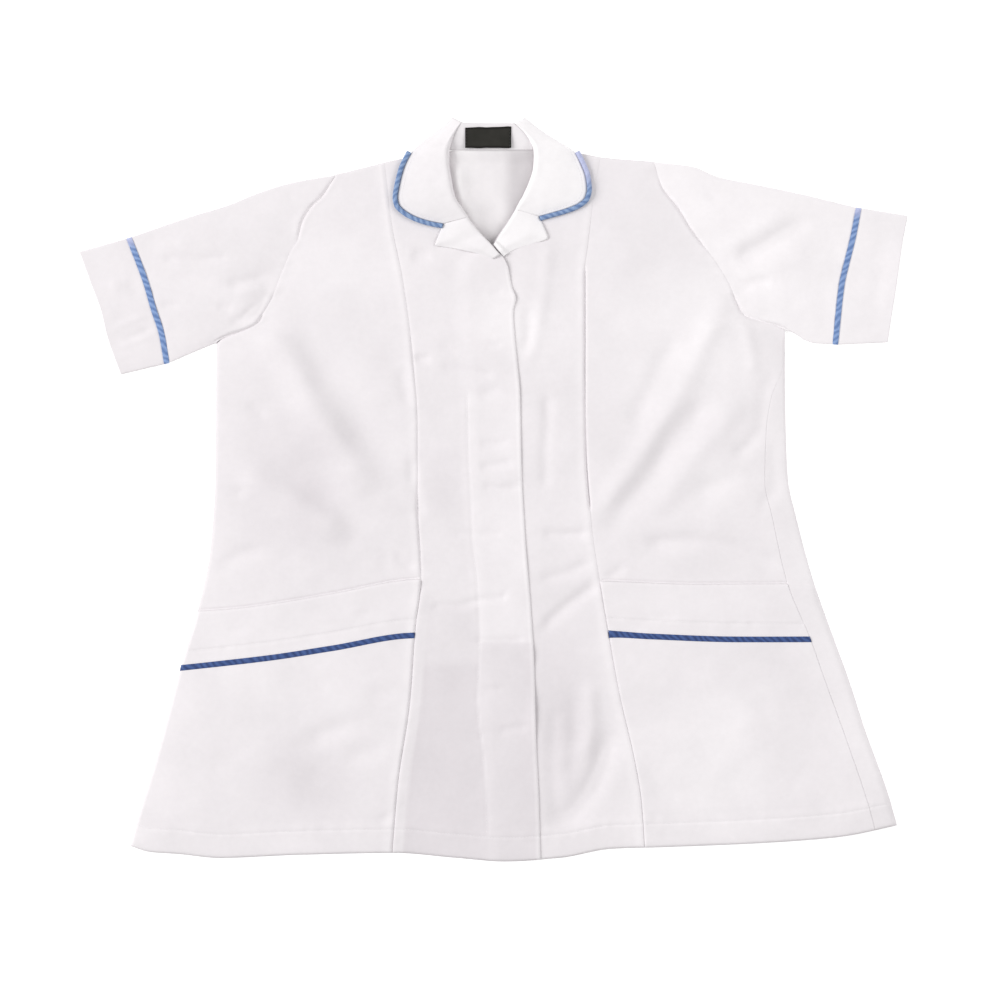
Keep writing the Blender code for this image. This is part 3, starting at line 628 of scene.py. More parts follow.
def right_centre_top(x, y):
    """The right front climbs onto the left one, and its free edge stands a little clear of it."""
    climb = ease((x - under_edge(y)) / OVERLAP_RAMP + 1)
    neck = 0.6 * ease((y - 200) / OVERLAP_RAMP)
    faced = ease((98 - y) / 4) * ease((y + 349) / 4)
    stitches = faced * (
        dip(x - placket_stitch(y), 0.5, 1.3) + puckers(y, x - placket_stitch(y), 8, 0.24, 7, 9)
    )
    to_edge = np.maximum(front_edge(y) - x, 0)
    below_neck = ease((226 - y) / 12)
    lifted = 0.15 + 0.35 * uneven(y, 0 * y, 38, 10)
    for up, height, reach in ((193, 1.3, 7), (-165, 1.1, 12), (-221, 1.3, 24), (105, 0.5, 22)):
        lifted = lifted + height * hump(y - up, reach)
    edge = below_neck * hump(to_edge, 7) * np.maximum(lifted, 0)
    rounded = dip(to_edge, 0.8, 1.1) * below_neck
    return front_top(x, y) + climb * (WALL + GAP + neck) + stitches + edge + rounded


# Painted light and shade, with a little of the whiter white where facings, seam allowances and pocket
# bags lie under the cloth: patches painted whiter, most on the wearer's left, and duller, most on the
# wearer's right and low in the middle, as the light falls across the tunic. Each place has a radius, an
# amount, and a path.
BACKING_AND_PAINTED_LIGHT = rows_of("""
    34 -0.36 64 -110 66 -180 66 -250 62 -345,
    20 -0.24 -52 60 -50 10 -48 -40,
    60 -0.36 -215 100 -200 40 -190 -20 -150 -70,
    40 -0.3 -250 -262 -180 -300 -120 -300,
    80 0.34 150 250 190 180 200 60,
    30 0.2 240 30 200 -20,
    60 0.26 190 -190 220 -280 300 -300,
    34 0.3 4 220 4 170 40 150 60 120,
    30 0.1 -290 -190 -200 -196,
    60 0.16 -150 270 -150 180,
    26 0.22 290 120 300 -20 345 -150 400 -330
""")


def tone_and_painted_light_of_front(x, y):
    """The seam allowances beside the princess seams and at the hem show a little whiter, and single
    thicknesses in the middle duller; the painted light and shade of the table above is added.
    """
    allowance = sum(np.exp(-(((x - seam(y) + 5) / 5) ** 4)) for seam in (princess_right, princess_left))
    turned_up = ease(1 - (y - hem(x) - HEM_DEPTH) / 1.5)
    in_centre = ease((x - princess_right(y) - 9) / 4) * ease((placket_stitch(y) - x) / 2 + 1)
    in_placket = ease((front_edge(y) - x) / 4) * ease((x - placket_stitch(y)) / 3)
    unbacked = in_centre * (0.16 * ease((-113 - y) / 7) + 0.28 * ease((-162 - y + 0.1 * x) / 16))
    unbacked = unbacked + 0.36 * ease((-151 - y) / 3) * in_placket
    return np.clip(0.5 + relief(BACKING_AND_PAINTED_LIGHT, x, y) + 0.08 * allowance + 0.05 * turned_up - unbacked, 0, 1)


HEM_ROWS = (hem, raised(hem, HEM_DEPTH), shares_of(HEM_DEPTH, 3, close_at_end=True))


def front_rows(under_pocket_pitch):
    return rows_up(
        HEM_ROWS,
        (raised(hem, HEM_DEPTH), pocket_top, shares_of(245, under_pocket_pitch, close_at_start=True)),
        (pocket_top, underarm, shares_of(245, 2.6, close_at_start=True)),
        (underarm, shoulder, shares_of(172, 2.6, close_at_end=True)),
    )


def front_panel(name, columns, rows, top, finish, node, layers, tucked=None):
    """A panel of a front, whose tucked edge lies just under its neighbour's at their seam."""
    x, y = crossings(columns, rows)
    z = top(x, y)
    if tucked:
        z[:, 0 if tucked == "start" else -1] -= TUCK_DEPTH
    sheet = sheet_through(np.stack([x, y, z], axis=2))
    piece = piece_of(name, sheet, finish, (node,), CLOTH)
    mark_tone_and_painted_light(piece, layers(x, y))
    return piece


# The whites of the fronts and sleeves: the tone attribute mixes them for layers of cloth and for painted
# light and painted shade.
ONE_LAYER_AND_PAINTED_SHADE = (0.70, 0.66, 0.683)
TWO_LAYERS_AND_PAINTED_LIGHT = (0.88, 0.848, 0.862)
front_twill = cloth_finish("twill_front", ONE_LAYER_AND_PAINTED_SHADE, TWO_LAYERS_AND_PAINTED_LIGHT)
TUCK, TUCK_DEPTH = 0.5, 0.9  # how far, and how deep, a panel goes under its neighbour

side_front_left = front_panel(
    "side_front_left", between(princess_left, seam_left, shares_of(188, 2.6, True, True)),
    front_rows(7), front_top, front_twill, "front_side_left", tone_and_painted_light_of_front,
)
side_front_right = front_panel(
    "side_front_right", between(side_right, princess_right, shares_of(205, 2.6, True, True)),
    front_rows(7), front_top, front_twill, "front_side_right", tone_and_painted_light_of_front,
)

centre_front_left = front_panel(
    "centre_front_left",
    between(under_edge, left_strip, shares_of(42, 3))[:-1]
    + between(left_strip, princess_left, shares_of(84, 2.2, False, True), (0, -TUCK)),
    front_rows(2.8), front_top, front_twill, "front_centre_left", tone_and_painted_light_of_front, tucked="end",
)


def tone_and_painted_light_of_right_centre(x, y):
    """The faced edge of the right front is three thicknesses of cloth and shows whiter, and a narrow band
    along its fold whiter still; the front's tone with its painted light and shade is added in.
    """
    faced = ease((x - placket_stitch(y) + 0.8) / 1.6) * ease((100 - y) / 8) * ease((y + 500) / 330)
    folded = ease((x - front_edge(y) + 4.5) / 1.5) * ease((226 - y) / 12)
    return np.clip(tone_and_painted_light_of_front(x, y) + 0.10 * faced + 0.25 * folded, 0, 1)


centre_front_right = front_panel(
    "centre_front_right",
    between(princess_right, right_strip, shares_of(84, 2.2, True, False), (-TUCK, 0))[:-1]
    + between(right_strip, front_edge, shares_of(42, 2.0, False, True)),
    front_rows(2.8), right_centre_top, front_twill, "front_centre_right", tone_and_painted_light_of_right_centre,
    tucked="start",
)

# The back's left edge: the side seam has rolled to the front, so a strip of the back panel turns
# round the side and lies face up beside the left front, as wide as 30 mm at the pocket.
TURN_TOP = 137.0


def turned_top(x, y):
    """The strip stands as high as what is sewn to it: the front, and lower down the pocket."""
    return front_top(x, y) + 1.35 * ease((pocket_top(x) + 5 - y) / 10) * ease((side_left(y) - x) / 6)


turned_edge = front_panel(
    "back_turned_over", between(seam_left, side_left, shares_of(24, 2.4, True, True), (-TUCK, 0)),
    rows_up(
        HEM_ROWS,
        (raised(hem, HEM_DEPTH), lambda x: 0 * x + TURN_TOP, shares_of(430, 3.2, close_at_start=True)),
    ),
    turned_top, cloth_finish("twill_back_edge", ONE_LAYER_AND_PAINTED_SHADE, TWO_LAYERS_AND_PAINTED_LIGHT), "back_turned_edge",
    tone_and_painted_light_of_front, tucked="start",
)

# The pockets: wide patches of twill caught in the side and princess seams and in the hem, with a
# band above the trim that is turned over and stitched. Both lie on the side fronts.
POCKET_LAYER = WALL + GAP
BAND_STITCH = 16.0  # the turned-over band is stitched this far above the trim
POCKET_CREASES = rows_of("""
    4 -0.4 -268 -140 -256 -141 -246 -139,
    4 -0.4 -140 -126 -128 -124 -118 -123,
    4 -0.4 160 -128 172 -127 186 -128,
    9 -0.6 260 -205 272 -222 280 -246,
    8 0.5 300 -290 316 -312 330 -325,
    9 -0.4 150 -270 168 -300 190 -318
""")
TRIM_WIDTH = 5.4
trim_low = raised(trim_line, -TRIM_WIDTH / 2 + 0.6)
trim_high = raised(trim_line, TRIM_WIDTH / 2 - 0.6)


def pocket_surface(x, y):
    """The pockets' upper face, which rolls down into its seams, with a stitched fold in its band."""
    right = x < 0
    from_side = np.where(right, x - side_right(y), seam_left(y) - x)
    from_princess = np.where(right, princess_right(y) - x, x - princess_left(y))
    stitched = y - trim_line(x) - BAND_STITCH
    top = front_top(x, y) + POCKET_LAYER
    return (
        top + 1.8 * relief(POCKET_CREASES, x, y) + dip(from_princess, 0.8, 0.9)
        + dip(from_side, np.where(right, 0.8, 0.0), 1.2)
        + dip(stitched, 0.5, 1.2) + puckers(x, stitched, 7, 0.45, 5, 11)
        + puckers(x, y - trim_line(x), 8, 0.3, 8, 12) + dip(pocket_top(x) - y, 1.2, 1.3)
    )


def tone_and_painted_light_of_pocket(x, y):
    """A pocket's cloth is backed by the front's, and its band by its own turned-over edge; the front's
    painted light and shade comes with it.
    """
    banded = ease((y - trim_line(x)) / 2)
    return np.clip(tone_and_painted_light_of_front(x, y) + 0.04 * banded, 0, 1)


pocket_columns = {
    "right": between(side_right, princess_right, shares_of(210, 2.8, True, True)),
    "left": between(princess_left, seam_left, shares_of(210, 2.8, True, True)),
}
for wearers, columns in pocket_columns.items():
    pocket = front_panel(
        f"pocket_{wearers}_patch", columns,
        rows_up(
            HEM_ROWS,
            (raised(hem, HEM_DEPTH), trim_low, shares_of(190, 3, True, True)),
        ),
        pocket_surface, front_twill, f"pocket_{wearers}", tone_and_painted_light_of_pocket,
    )
    band = front_panel(
        f"pocket_{wearers}_band", columns,
        rows_up(
            (trim_high, raised(trim_line, BAND_STITCH), shares_of(13, 2, True, False)),
            (raised(trim_line, BAND_STITCH), pocket_top, shares_of(40, 2.6, True, True)),
        ),
        pocket_surface, front_twill, f"pocket_band_{wearers}", tone_and_painted_light_of_pocket,
    )


# The pockets' trim: a flat mid-blue ribbon with slanting ribs, sewn over the seam between each
# pocket and its band, and folded under at its ends. It stands a little above the cloth.
def ribbon_group():
    """Woven blue ribbon: slanting ribs, and lighter and darker threads along it."""
    group, vector, out = node_group("ribbon", "Height", "Shade")
    ribs = pattern(group, "Wave", vector, {"Scale": 420, "Distortion": 0.5}, bands_direction="DIAGONAL")
    uneven_bands = {"Scale": 88, "Distortion": 6.0, "Detail Scale": 0.6}
    streaks = pattern(group, "Wave", vector, uneven_bands, bands_direction="DIAGONAL")
    flecks = pattern(group, "Noise", vector, {"Scale": 240, "Detail": 3})
    shade = mixed(group, mixed(group, streaks, flecks, 0.42), ribs, 0.25)
    feed(group, out, {"Height": ribs, "Shade": shade})
    return group


RIBBON = ribbon_group()


def trim_finish(name, dark, light):
    """Blue trim between two blues, on the piece's own map in metres along and across it, and paler towards
    a pale lilac where it is marked.
    """
    finish, tree, surface = finish_with(name, {
        "Roughness": 0.62, "Specular IOR Level": 0.3, "Sheen Weight": 0.1,
    })
    along = wired(tree, "UVMap", uv_map="along").outputs["UV"]
    ribbon = wired(tree, "Group", {"Vector": along}, node_tree=RIBBON)
    shade = wired(tree, "MapRange", {"Value": ribbon.outputs["Shade"], "From Min": 0.1, "From Max": 0.9})
    blue = mixed(tree, (*dark, 1), (*light, 1), shade.outputs["Result"], "RGBA")
    paled = wired(tree, "Attribute", attribute_name="layers").outputs["Fac"]
    feed(tree, surface, {
        "Base Color": mixed(tree, blue, (0.56, 0.57, 0.78, 1), paled, "RGBA"),
        "Normal": bumped(tree, ribbon.outputs["Height"], 0.5, 0.0003),
    })
    return finish


def map_along(sheet, along, across):
    """A map in metres: each column of points' place along the trim, and each row's across it."""
    layer = sheet.loops.layers.uv.new("along")
    columns = len(along)
    sheet.verts.index_update()
    for face in sheet.faces:
        for loop in face.loops:
            row, column = divmod(loop.vert.index, columns)
            loop[layer].uv = (along[column] * MM, across[row] * MM)


TRIM_LIFT = 0.8
pocket_blue = trim_finish("blue_trim_pocket", (0.010, 0.026, 0.11), (0.066, 0.125, 0.33))
for wearers, columns in pocket_columns.items():
    across = np.array((-TRIM_WIDTH / 2, -2.45, -2.0, -1.0, 0.0, 1.0, 2.0, 2.45, TRIM_WIDTH / 2))
    x, y = crossings(columns, [raised(trim_line, up) for up in across])
    flare = 0.35 * np.exp(-(x - x[:, :1]) / 12) * (wearers == "left")
    y = trim_line(x) + (y - trim_line(x)) * (1.1 + flare)
    top = pocket_surface(x, y) + TRIM_LIFT * np.array((-0.2, 0.5, 0.85, 1, 1, 1, 0.85, 0.5, -0.2))[:, None]
    sheet = sheet_through(np.stack([x, y, top], axis=2))
    map_along(sheet, x[4], across)
    trim = piece_of(
        f"trim_pocket_{wearers}", sheet, pocket_blue, (f"pocket_trim_{wearers}",), 0.9
    )

# The sleeves: each is one piece of twill sewn into a tube and set into the armhole, pressed flat
# along its top and underarm folds. The cuff is a turned-back band sewn on over blue trim.
SLEEVE_EDGE, SLEEVE_LOFT, SLEEVE_LENGTH = 3.4, 3.0, 190
CUFF_LOFT, CUFF_DEPTH = 1.2, 48
SLEEVES = {
    "right": {
        "outward": (-0.957, -0.29),
        "top": rows_of("-158.5 315, -203 307, -233 298, -268 284, -304 273, -365 252"),
        "under": rows_of("-277.5 147, -304 136, -322 128, -327 126"),
        "cuff_seam": rows_of("-365 252, -348.5 209, -340 180, -332 155, -327 126"),
        "cuff_end": rows_of("-414.5 238, -403.5 208, -392.5 178, -386.5 153, -373 115"),
    },
    "left": {
        "outward": (0.99, -0.12),
        "top": rows_of("160.5 328, 201 323, 225 313, 259 306, 303 297, 365.5 282"),
        "under": rows_of("291.5 160, 296.5 158.3, 301.6 156, 306.6 153, 311 150, 324 146, 342 145"),
        "cuff_seam": rows_of("365.5 282, 359.5 251, 353.5 227, 348.5 205, 342 145"),
        "cuff_end": rows_of("414.6 274, 409.5 248, 403.5 206, 398.5 174, 394.5 147"),
    },
}
SLEEVE_FOLDS = creases_of("""
    5 -0.9 160 259 178 258.5 200 260 222 257.5 232 259,
    6 0.5 152.5 244.3 169.5 245.3 193.5 242.3,
    6 -1.3 225 285 242 283 258 279 276 282,
    6 0.8 231.5 293.3 253.5 289.3 271.5 289.3,
    4 -0.7 158 305 182 306,
    5 -0.6 215 305 235 310,
    5 -1.1 226 325 240 320 256 309 262 302,
    4 0.8 226.5 334.3 243.5 328.8 257.5 319.3 267.5 305.3 276.5 289.3,
    4 -0.6 285 194 298 196,
    9 -2.1 733 262 750 254 765 246 780 236 795 227 812 217,
    9 0.9 722.5 249.3 742 240 757 231 775 219 790 208,
    12 0.8 755.5 271.3 781.5 263.3 811.5 249.3,
    5 -1.1 733 286 746 286 754 283 775 281,
    5 -0.6 707 190 720 205,
    8 -0.5 755.5 303.3 773.5 313.3 785.5 325.3,
    9 0.5 793.5 299.3 811.5 311.3 823.5 329.3
""")
CUFF_FOLDS = creases_of("""
    4 0.5 112 330 130 321 148 315,
    4 -0.6 122 342 140 334 154 328,
    4 0.4 118 347 135 340 153.5 336.3,
    6 -0.5 127.5 275.3 132.5 286.3 137.5 299.3,
    5 0.4 107.5 286.3 113.5 285.3 121.5 284.3,
    5 -0.6 849.5 328.3 865.5 328.3 879.5 329.3,
    5 -0.4 865.5 257.3 873.5 258.3 883.5 259.3,
    9 -0.5 885.5 223.3 882.5 269.3 873.5 321.3
""")


def gone_along(line):
    """How far along a line each of its points is."""
    return np.concatenate([[0], np.cumsum(np.linalg.norm(np.diff(line, axis=0), axis=1))])


def lengthwise(line):
    """How far along a line each of its points is, from 0 to 1."""
    along = gone_along(line)
    return along / along[-1]


def sampled(line, shares):
    """Points at shares of the way along a smooth line through places."""
    rows = np.array(line, float)
    along = lengthwise(rows)
    return np.stack([smooth_line(zip(along, rows[:, k]))(shares) for k in (0, 1)], axis=1)


def normals_of(line, towards):
    """Unit normals of a line of points, on the side of a direction."""
    tangent = np.gradient(line, axis=0)
    normal = np.stack([tangent[:, 1], -tangent[:, 0]], axis=1)
    normal = normal / np.linalg.norm(normal, axis=1)[:, None]
    return normal * np.sign((normal * towards).sum(axis=1))[:, None]


def bow(line, shares):
    """How far a line leaves the straight one between its ends."""
    ends = sampled(line, np.array((0.0, 1.0)))
    return sampled(line, shares) - ends[0] - np.outer(shares, ends[1] - ends[0])


def flat_tube(start, end, bows, stations, across, height):
    """Points of a flattened tube: rings over its upper cloth and back under it, round both folds."""
    fold = SLEEVE_EDGE / 2
    near = fold / np.linalg.norm(start[-1] - start[0])
    turn = np.linspace(0, np.pi / 2, 5)
    inner = np.linspace(near, 1 - near, 60)[1:-1]
    over = np.concatenate([near * (1 - np.cos(turn)), inner, 1 - near * (1 - np.cos(turn[::-1]))])
    out_of_fold = np.concatenate([np.sin(turn), inner * 0 + 1, np.sin(turn[::-1])])
    ring = np.concatenate([over, over[-2::-1]])
    upper = np.concatenate([out_of_fold, -out_of_fold[-2::-1]])
    points = np.zeros((len(stations), len(ring), 3))
    first, last = (
        np.stack([np.interp(ring, across, line[:, k]) for k in (0, 1)], axis=1) for line in (start, end)
    )
    for i, s in enumerate(stations):
        plan = first * (1 - s) + last * s
        if bows:
            plan = plan + np.outer(1 - ring, bows[0][i]) + np.outer(ring, bows[1][i])
        tall = height(plan[:, 0], plan[:, 1], s, ring)
        points[i, :, :2] = plan
        points[i, :, 2] = np.where(upper >= 0, fold + (tall - fold) * upper, fold + fold * upper)
    return points


def tube_piece(name, points, finish, node, wall, mapped=None):
    tube = sheet_through(points)
    if mapped:
        map_along(tube, *mapped)
    bmesh.ops.remove_doubles(tube, verts=tube.verts, dist=0.00001)
    bmesh.ops.recalc_face_normals(tube, faces=tube.faces)
    highest = max(tube.faces, key=lambda face: face.calc_center_median().z)
    if highest.normal.z < 0:
        bmesh.ops.reverse_faces(tube, faces=tube.faces)
    return piece_of(name, tube, finish, (node,), wall)


def crown(t):
    return 1 - np.abs(2 * t - 1) ** 3


cuff_blue = trim_finish("blue_trim_cuff", (0.07, 0.145, 0.36), (0.31, 0.44, 0.72))
for wearers, shape in SLEEVES.items():
    outward = np.array(shape["outward"])
    edge = side_right if wearers == "right" else side_left
    hole = np.stack(crossings([edge], between(underarm, shoulder, np.linspace(1, 0, 70))), axis=2)[:, 0]
    across = lengthwise(hole)
    normal = normals_of(hole, outward)
    seam = sampled(shape["cuff_seam"], across)
    cuff_end = sampled(shape["cuff_end"], across)
    half_trim = TRIM_WIDTH / 2
    grain = float(np.arctan2(outward[1], abs(outward[0]))) * (1 if wearers == "left" else -1)
    finish = cloth_finish(f"twill_sleeve_{wearers}", ONE_LAYER_AND_PAINTED_SHADE, TWO_LAYERS_AND_PAINTED_LIGHT, grain)

    def sleeve_height(x, y, s, t):
        loft = SLEEVE_LOFT * crown(t) * (0.35 + 0.65 * np.sin(np.pi * s)) * ease(s * 4 + 0.06)
        waves = 1.9 * relief(SLEEVE_FOLDS, x, y) * ease(s * 14 + 0.25) * ease((1 - s) * 12)
        waves = (waves + 0.35 * uneven(x, y, 30, 21) + 0.18 * uneven(x, y, 11, 22)) * crown(t)
        seams = armhole_dip(x, y) * ease(2.5 * crown(t)) + dip((1 - s) * SLEEVE_LENGTH, 0.4, 1.6)
        seams = seams + crown(t) * puckers(t * 140, (1 - s) * SLEEVE_LENGTH, 9, 0.3, 8, 24)
        tucked = TUCK_DEPTH * ease(1 - s * 200 / TUCK)
        return SLEEVE_EDGE + np.maximum(loft + waves, 0) + seams * ease(4 * crown(t)) - tucked

    def cuff_height(x, y, s, t):
        waves = 1.8 * relief(CUFF_FOLDS, x, y) + 0.25 * uneven(x, y, 18, 25) + 0.1 * uneven(x, y, 8, 26)
        return SLEEVE_EDGE + crown(t) * np.maximum(CUFF_LOFT + waves, 0) + dip(s * CUFF_DEPTH, 0.3, 1.5)

    stations = shares_of(200, 3.0, True, True)
    sleeve = tube_piece(
        f"sleeve_{wearers}_cloth",
        flat_tube(
            hole - normal * TUCK, seam - outward * (half_trim - 0.5),
            (bow(shape["top"], stations), bow(shape["under"], stations)),
            stations, across, sleeve_height,
        ),
        finish, f"sleeve_{wearers}", CLOTH,
    )
    # Painted light: the wearer's left sleeve is painted whiter than the right, as the light falls across
    # the tunic.
    mark_tone_and_painted_light(sleeve, 0.84 if wearers == "left" else 0.55)

    stations = shares_of(46, 2.6, True, True)
    cuff = tube_piece(
        f"cuff_{wearers}_cloth",
        flat_tube(seam + outward * (half_trim - 0.5), cuff_end, None, stations, across, cuff_height),
        finish, f"cuff_{wearers}", CLOTH,
    )
    # Painted light: the wearer's left cuff is painted whiter than the right, as the light falls across the
    # tunic.
    mark_tone_and_painted_light(cuff, 0.75 if wearers == "left" else 0.5)

    stations = np.array((0.0, 0.06, 0.16, 0.33, 0.5, 0.67, 0.84, 0.94, 1.0))

    def trim_height(x, y, s, t):
        return cuff_height(x, y, 1.0, t) + 0.7 * np.sin(np.pi * np.clip(s, 0.12, 0.88)) ** 0.5

    points = flat_tube(
        seam - outward * half_trim, seam + outward * half_trim, None, stations, across, trim_height
    )
    trim = tube_piece(
        f"trim_cuff_{wearers}", points, cuff_blue, f"cuff_trim_{wearers}", 0.9,
        (gone_along(points[4, :, :2]), stations * TRIM_WIDTH),
    )
    top_fold = shape["cuff_seam"][0][1]
    # The cuff trim is made paler towards the sleeve's top fold.
    mark_tone_and_painted_light(trim, [0.8 * float(ease(1 - (top_fold - v.co.y / MM) / 14)) for v in trim.data.vertices])

# The revers: the top of each front, faced and turned back over itself, with a rounded roll at the
# neck. It ends at the notch under the collar, and runs out where the fronts meet.
COLLAR_WALL = 1.3
STAND_DEPTH = 22.0
ROLL_OVERHANG, ROLL_REACH, REST_GAP = 8.0, 8.0, 0.4
REVERS = {
    "right": rows_of("""
        -49 267.5 -27.2 275.6 5.2, -52.5 260 -23.2 268.6 5.8, -58.5 244 -17 261 5.2,
        -40 240.5 -9.5 252.5 4.2, -18 235.8 -1.5 244 3.2, 0 229.5 6.5 234.5 2.2
    """),
    "left": rows_of("""
        44.5 274.6 23.4 283.2 5.2, 48.4 266.6 20 276 5.8, 54.5 251 15.5 268.5 5, 37 244.5 9.5 259.5 4,
        20 238.8 4 251 2.6, 10 232.4 0 244.5 1.5
    """),
}


def sections_at(sections, shares):
    """Each column of a table of sections, at shares of the way through its rows."""
    names, rows = ("edge_x", "edge_y", "roll_x", "roll_y", "lift"), np.array(sections)
    keys = np.linspace(0, 1, len(rows))
    return {name: smooth_line(zip(keys, rows[:, k]))(shares) for k, name in enumerate(names)}


def resting_height(at):
    """The height of what each section lies on: the fronts, and past the shoulders the surface."""
    heights = []
    for share in np.linspace(0, 1, 6):
        x = at["edge_x"] * (1 - share) + at["roll_x"] * share
        y = at["edge_y"] * (1 - share) + at["roll_y"] * share
        down = ease((y - 340) / 10)
        for near in (y - ROLL_REACH, y, y + ROLL_REACH):
            on_right = x < front_edge(y) + ROLL_OVERHANG
            lies_on = np.where(on_right, right_centre_top(x, near), front_top(x, near))
            heights.append((lies_on + REST_GAP) * (1 - down))
    return np.max(heights, axis=0)


def rolled(sections, count, piped_to=0, seed=0):
    """Points of a piece that folds over at the neck: its fall, its rounded roll, and its stand.

    The revers' edge stands up at the notch, and past its corner it runs into the front.
    """
    shares = np.linspace(0, 1, count)
    at = sections_at(sections, shares)
    bases = resting_height(at)
    edge = np.stack([at["edge_x"], at["edge_y"]], axis=1)
    roll = np.stack([at["roll_x"], at["roll_y"]], axis=1)
    normal = normals_of(edge, roll - edge)
    if piped_to:
        piped = ease(piped_to - shares * (len(sections) - 1))
        edge = edge + normal * ((PIPING_RADIUS + GAP) * piped)[:, None]
    points = []
    for k in range(count):
        width = np.linalg.norm(edge[k] - roll[k])
        out = (edge[k] - roll[k]) / width
        lift = at["lift"][k]
        stand = min(STAND_DEPTH, 0.6 * width)
        radius = lift / 2
        profile = [(width, COLLAR_WALL - 0.25), (width - 0.6, COLLAR_WALL)]
        for share in (0.8, 0.6, 0.4, 0.22):
            profile.append((width * share, COLLAR_WALL + (lift - COLLAR_WALL) * (1 - share**1.4)))
        profile += [
            (min(radius * 0.75, width * 0.12), lift), (radius * 0.2, lift * 0.82), (0.0, lift * 0.5),
            (radius * 0.2, lift * 0.16), (radius * 0.75, 0.0), (stand * 0.6 + radius * 0.3, 0.0),
            (stand, 0.0),
        ]
        profile = np.array(profile)
        along = lengthwise(profile)
        fine = np.concatenate([np.linspace(0, along[5], 16)[:-1], np.linspace(along[5], 1, 20)])
        away, up = (np.interp(fine, along, profile[:, 0]), smooth_line(zip(along, profile[:, 1]))(fine))
        on_fall = ease((along[7] - fine) / 0.12)
        x, y = roll[k, 0] + out[0] * away, roll[k, 1] + out[1] * away
        from_edge = width - away
        wave = 0.3 * uneven(x, y, 16, seed) + 0.16 * uneven(x, y, 6, seed + 1)
        wave = wave * ease(from_edge / 8) * ease(shares[k] * 12)
        wave = wave - (0 if piped_to else 0.9) * ease(1 - shares[k] * 9)
        if piped_to:
            wave = wave + dip(from_edge - TOPSTITCH_IN, 0.3, 1.1) * ease(shares[k] * 12)
        else:
            wave = wave - 1.75 * ease(shares[k] * 5 - 1.6) * ease(1 - from_edge / (0.45 * width))
        points.append(np.stack([x, y, bases[k] + up + wave * on_fall], axis=1))
    return np.array(points)


def roll_piece(name, points, finish, node):
    sheet = sheet_through(points)
    sheet.normal_update()
    sheet.faces.ensure_lookup_table()
    if sheet.faces[0].normal.z < 0:
        bmesh.ops.reverse_faces(sheet, faces=sheet.faces)
    return piece_of(name, sheet, finish, (node,), COLLAR_WALL - 0.2)


collar_twill = cloth_finish("twill_collar", (0.80, 0.77, 0.785), (0.92, 0.895, 0.905), bump=0.24)
for wearers, sections in REVERS.items():
    revers = roll_piece(
        f"revers_{wearers}_facing", rolled(sections, 34, seed=31), collar_twill, f"revers_{wearers}"
    )
    # Painted shade: the wearer's right revers is painted duller than the left, as the light falls across
    # the tunic.
    mark_tone_and_painted_light(revers, 0.9 if wearers == "left" else 0.3)

# The collar: two layers of twill with interlining, its fall pressed over its stand, and its edge
# piped and topstitched as far as the shoulders. It is sewn to the neck and to the revers.
PIPING_RADIUS, PIPED_SECTIONS = 2.1, 9
TOPSTITCH_IN = 5.0  # how far from its edge the collar is stitched
COLLARS = {
    "right": rows_of("""
        -51 263 -25 271.5 6, -64 265.5 -29 278 7.5, -77 269.5 -33 284 8.5, -90 276.5 -37 290 9,
        -97 284 -39 296 9, -98.5 292 -40.5 302 9, -96.5 305 -42 311 9, -92 322 -44 325 9.5,
        -84.5 337.5 -44 336 10.5, -66 352 -41.5 347.5 10.5, -52 362.5 -37 357.5 9, -41 372.4 -31 366.5 7
    """),
    "left": rows_of("""
        46.5 270.5 21.5 279 6, 61 274.5 25 286 7.5, 74.5 278.5 28.5 292 8.5, 87 284 32 299 9,
        94 291 34.5 305 9, 96 300.5 37 312 9, 94.5 313 39.5 321 9, 90 325.5 40 331 9.5,
        84 337.5 39.5 340 10.5, 66 348 36 348.5 10.5, 48 359.5 29.5 357 9, 31.5 372.4 20.5 365 7
    """),
}
for wearers, sections in COLLARS.items():
    collar = roll_piece(
        f"collar_{wearers}_cloth", rolled(sections, 96, PIPED_SECTIONS, seed=33), collar_twill,
        f"collar_{wearers}",
    )
    # Painted shade: the wearer's right side of the collar is painted much duller than the left, as the
    # light falls across the tunic.
    mark_tone_and_painted_light(collar, 0.9 if wearers == "left" else 0.1)

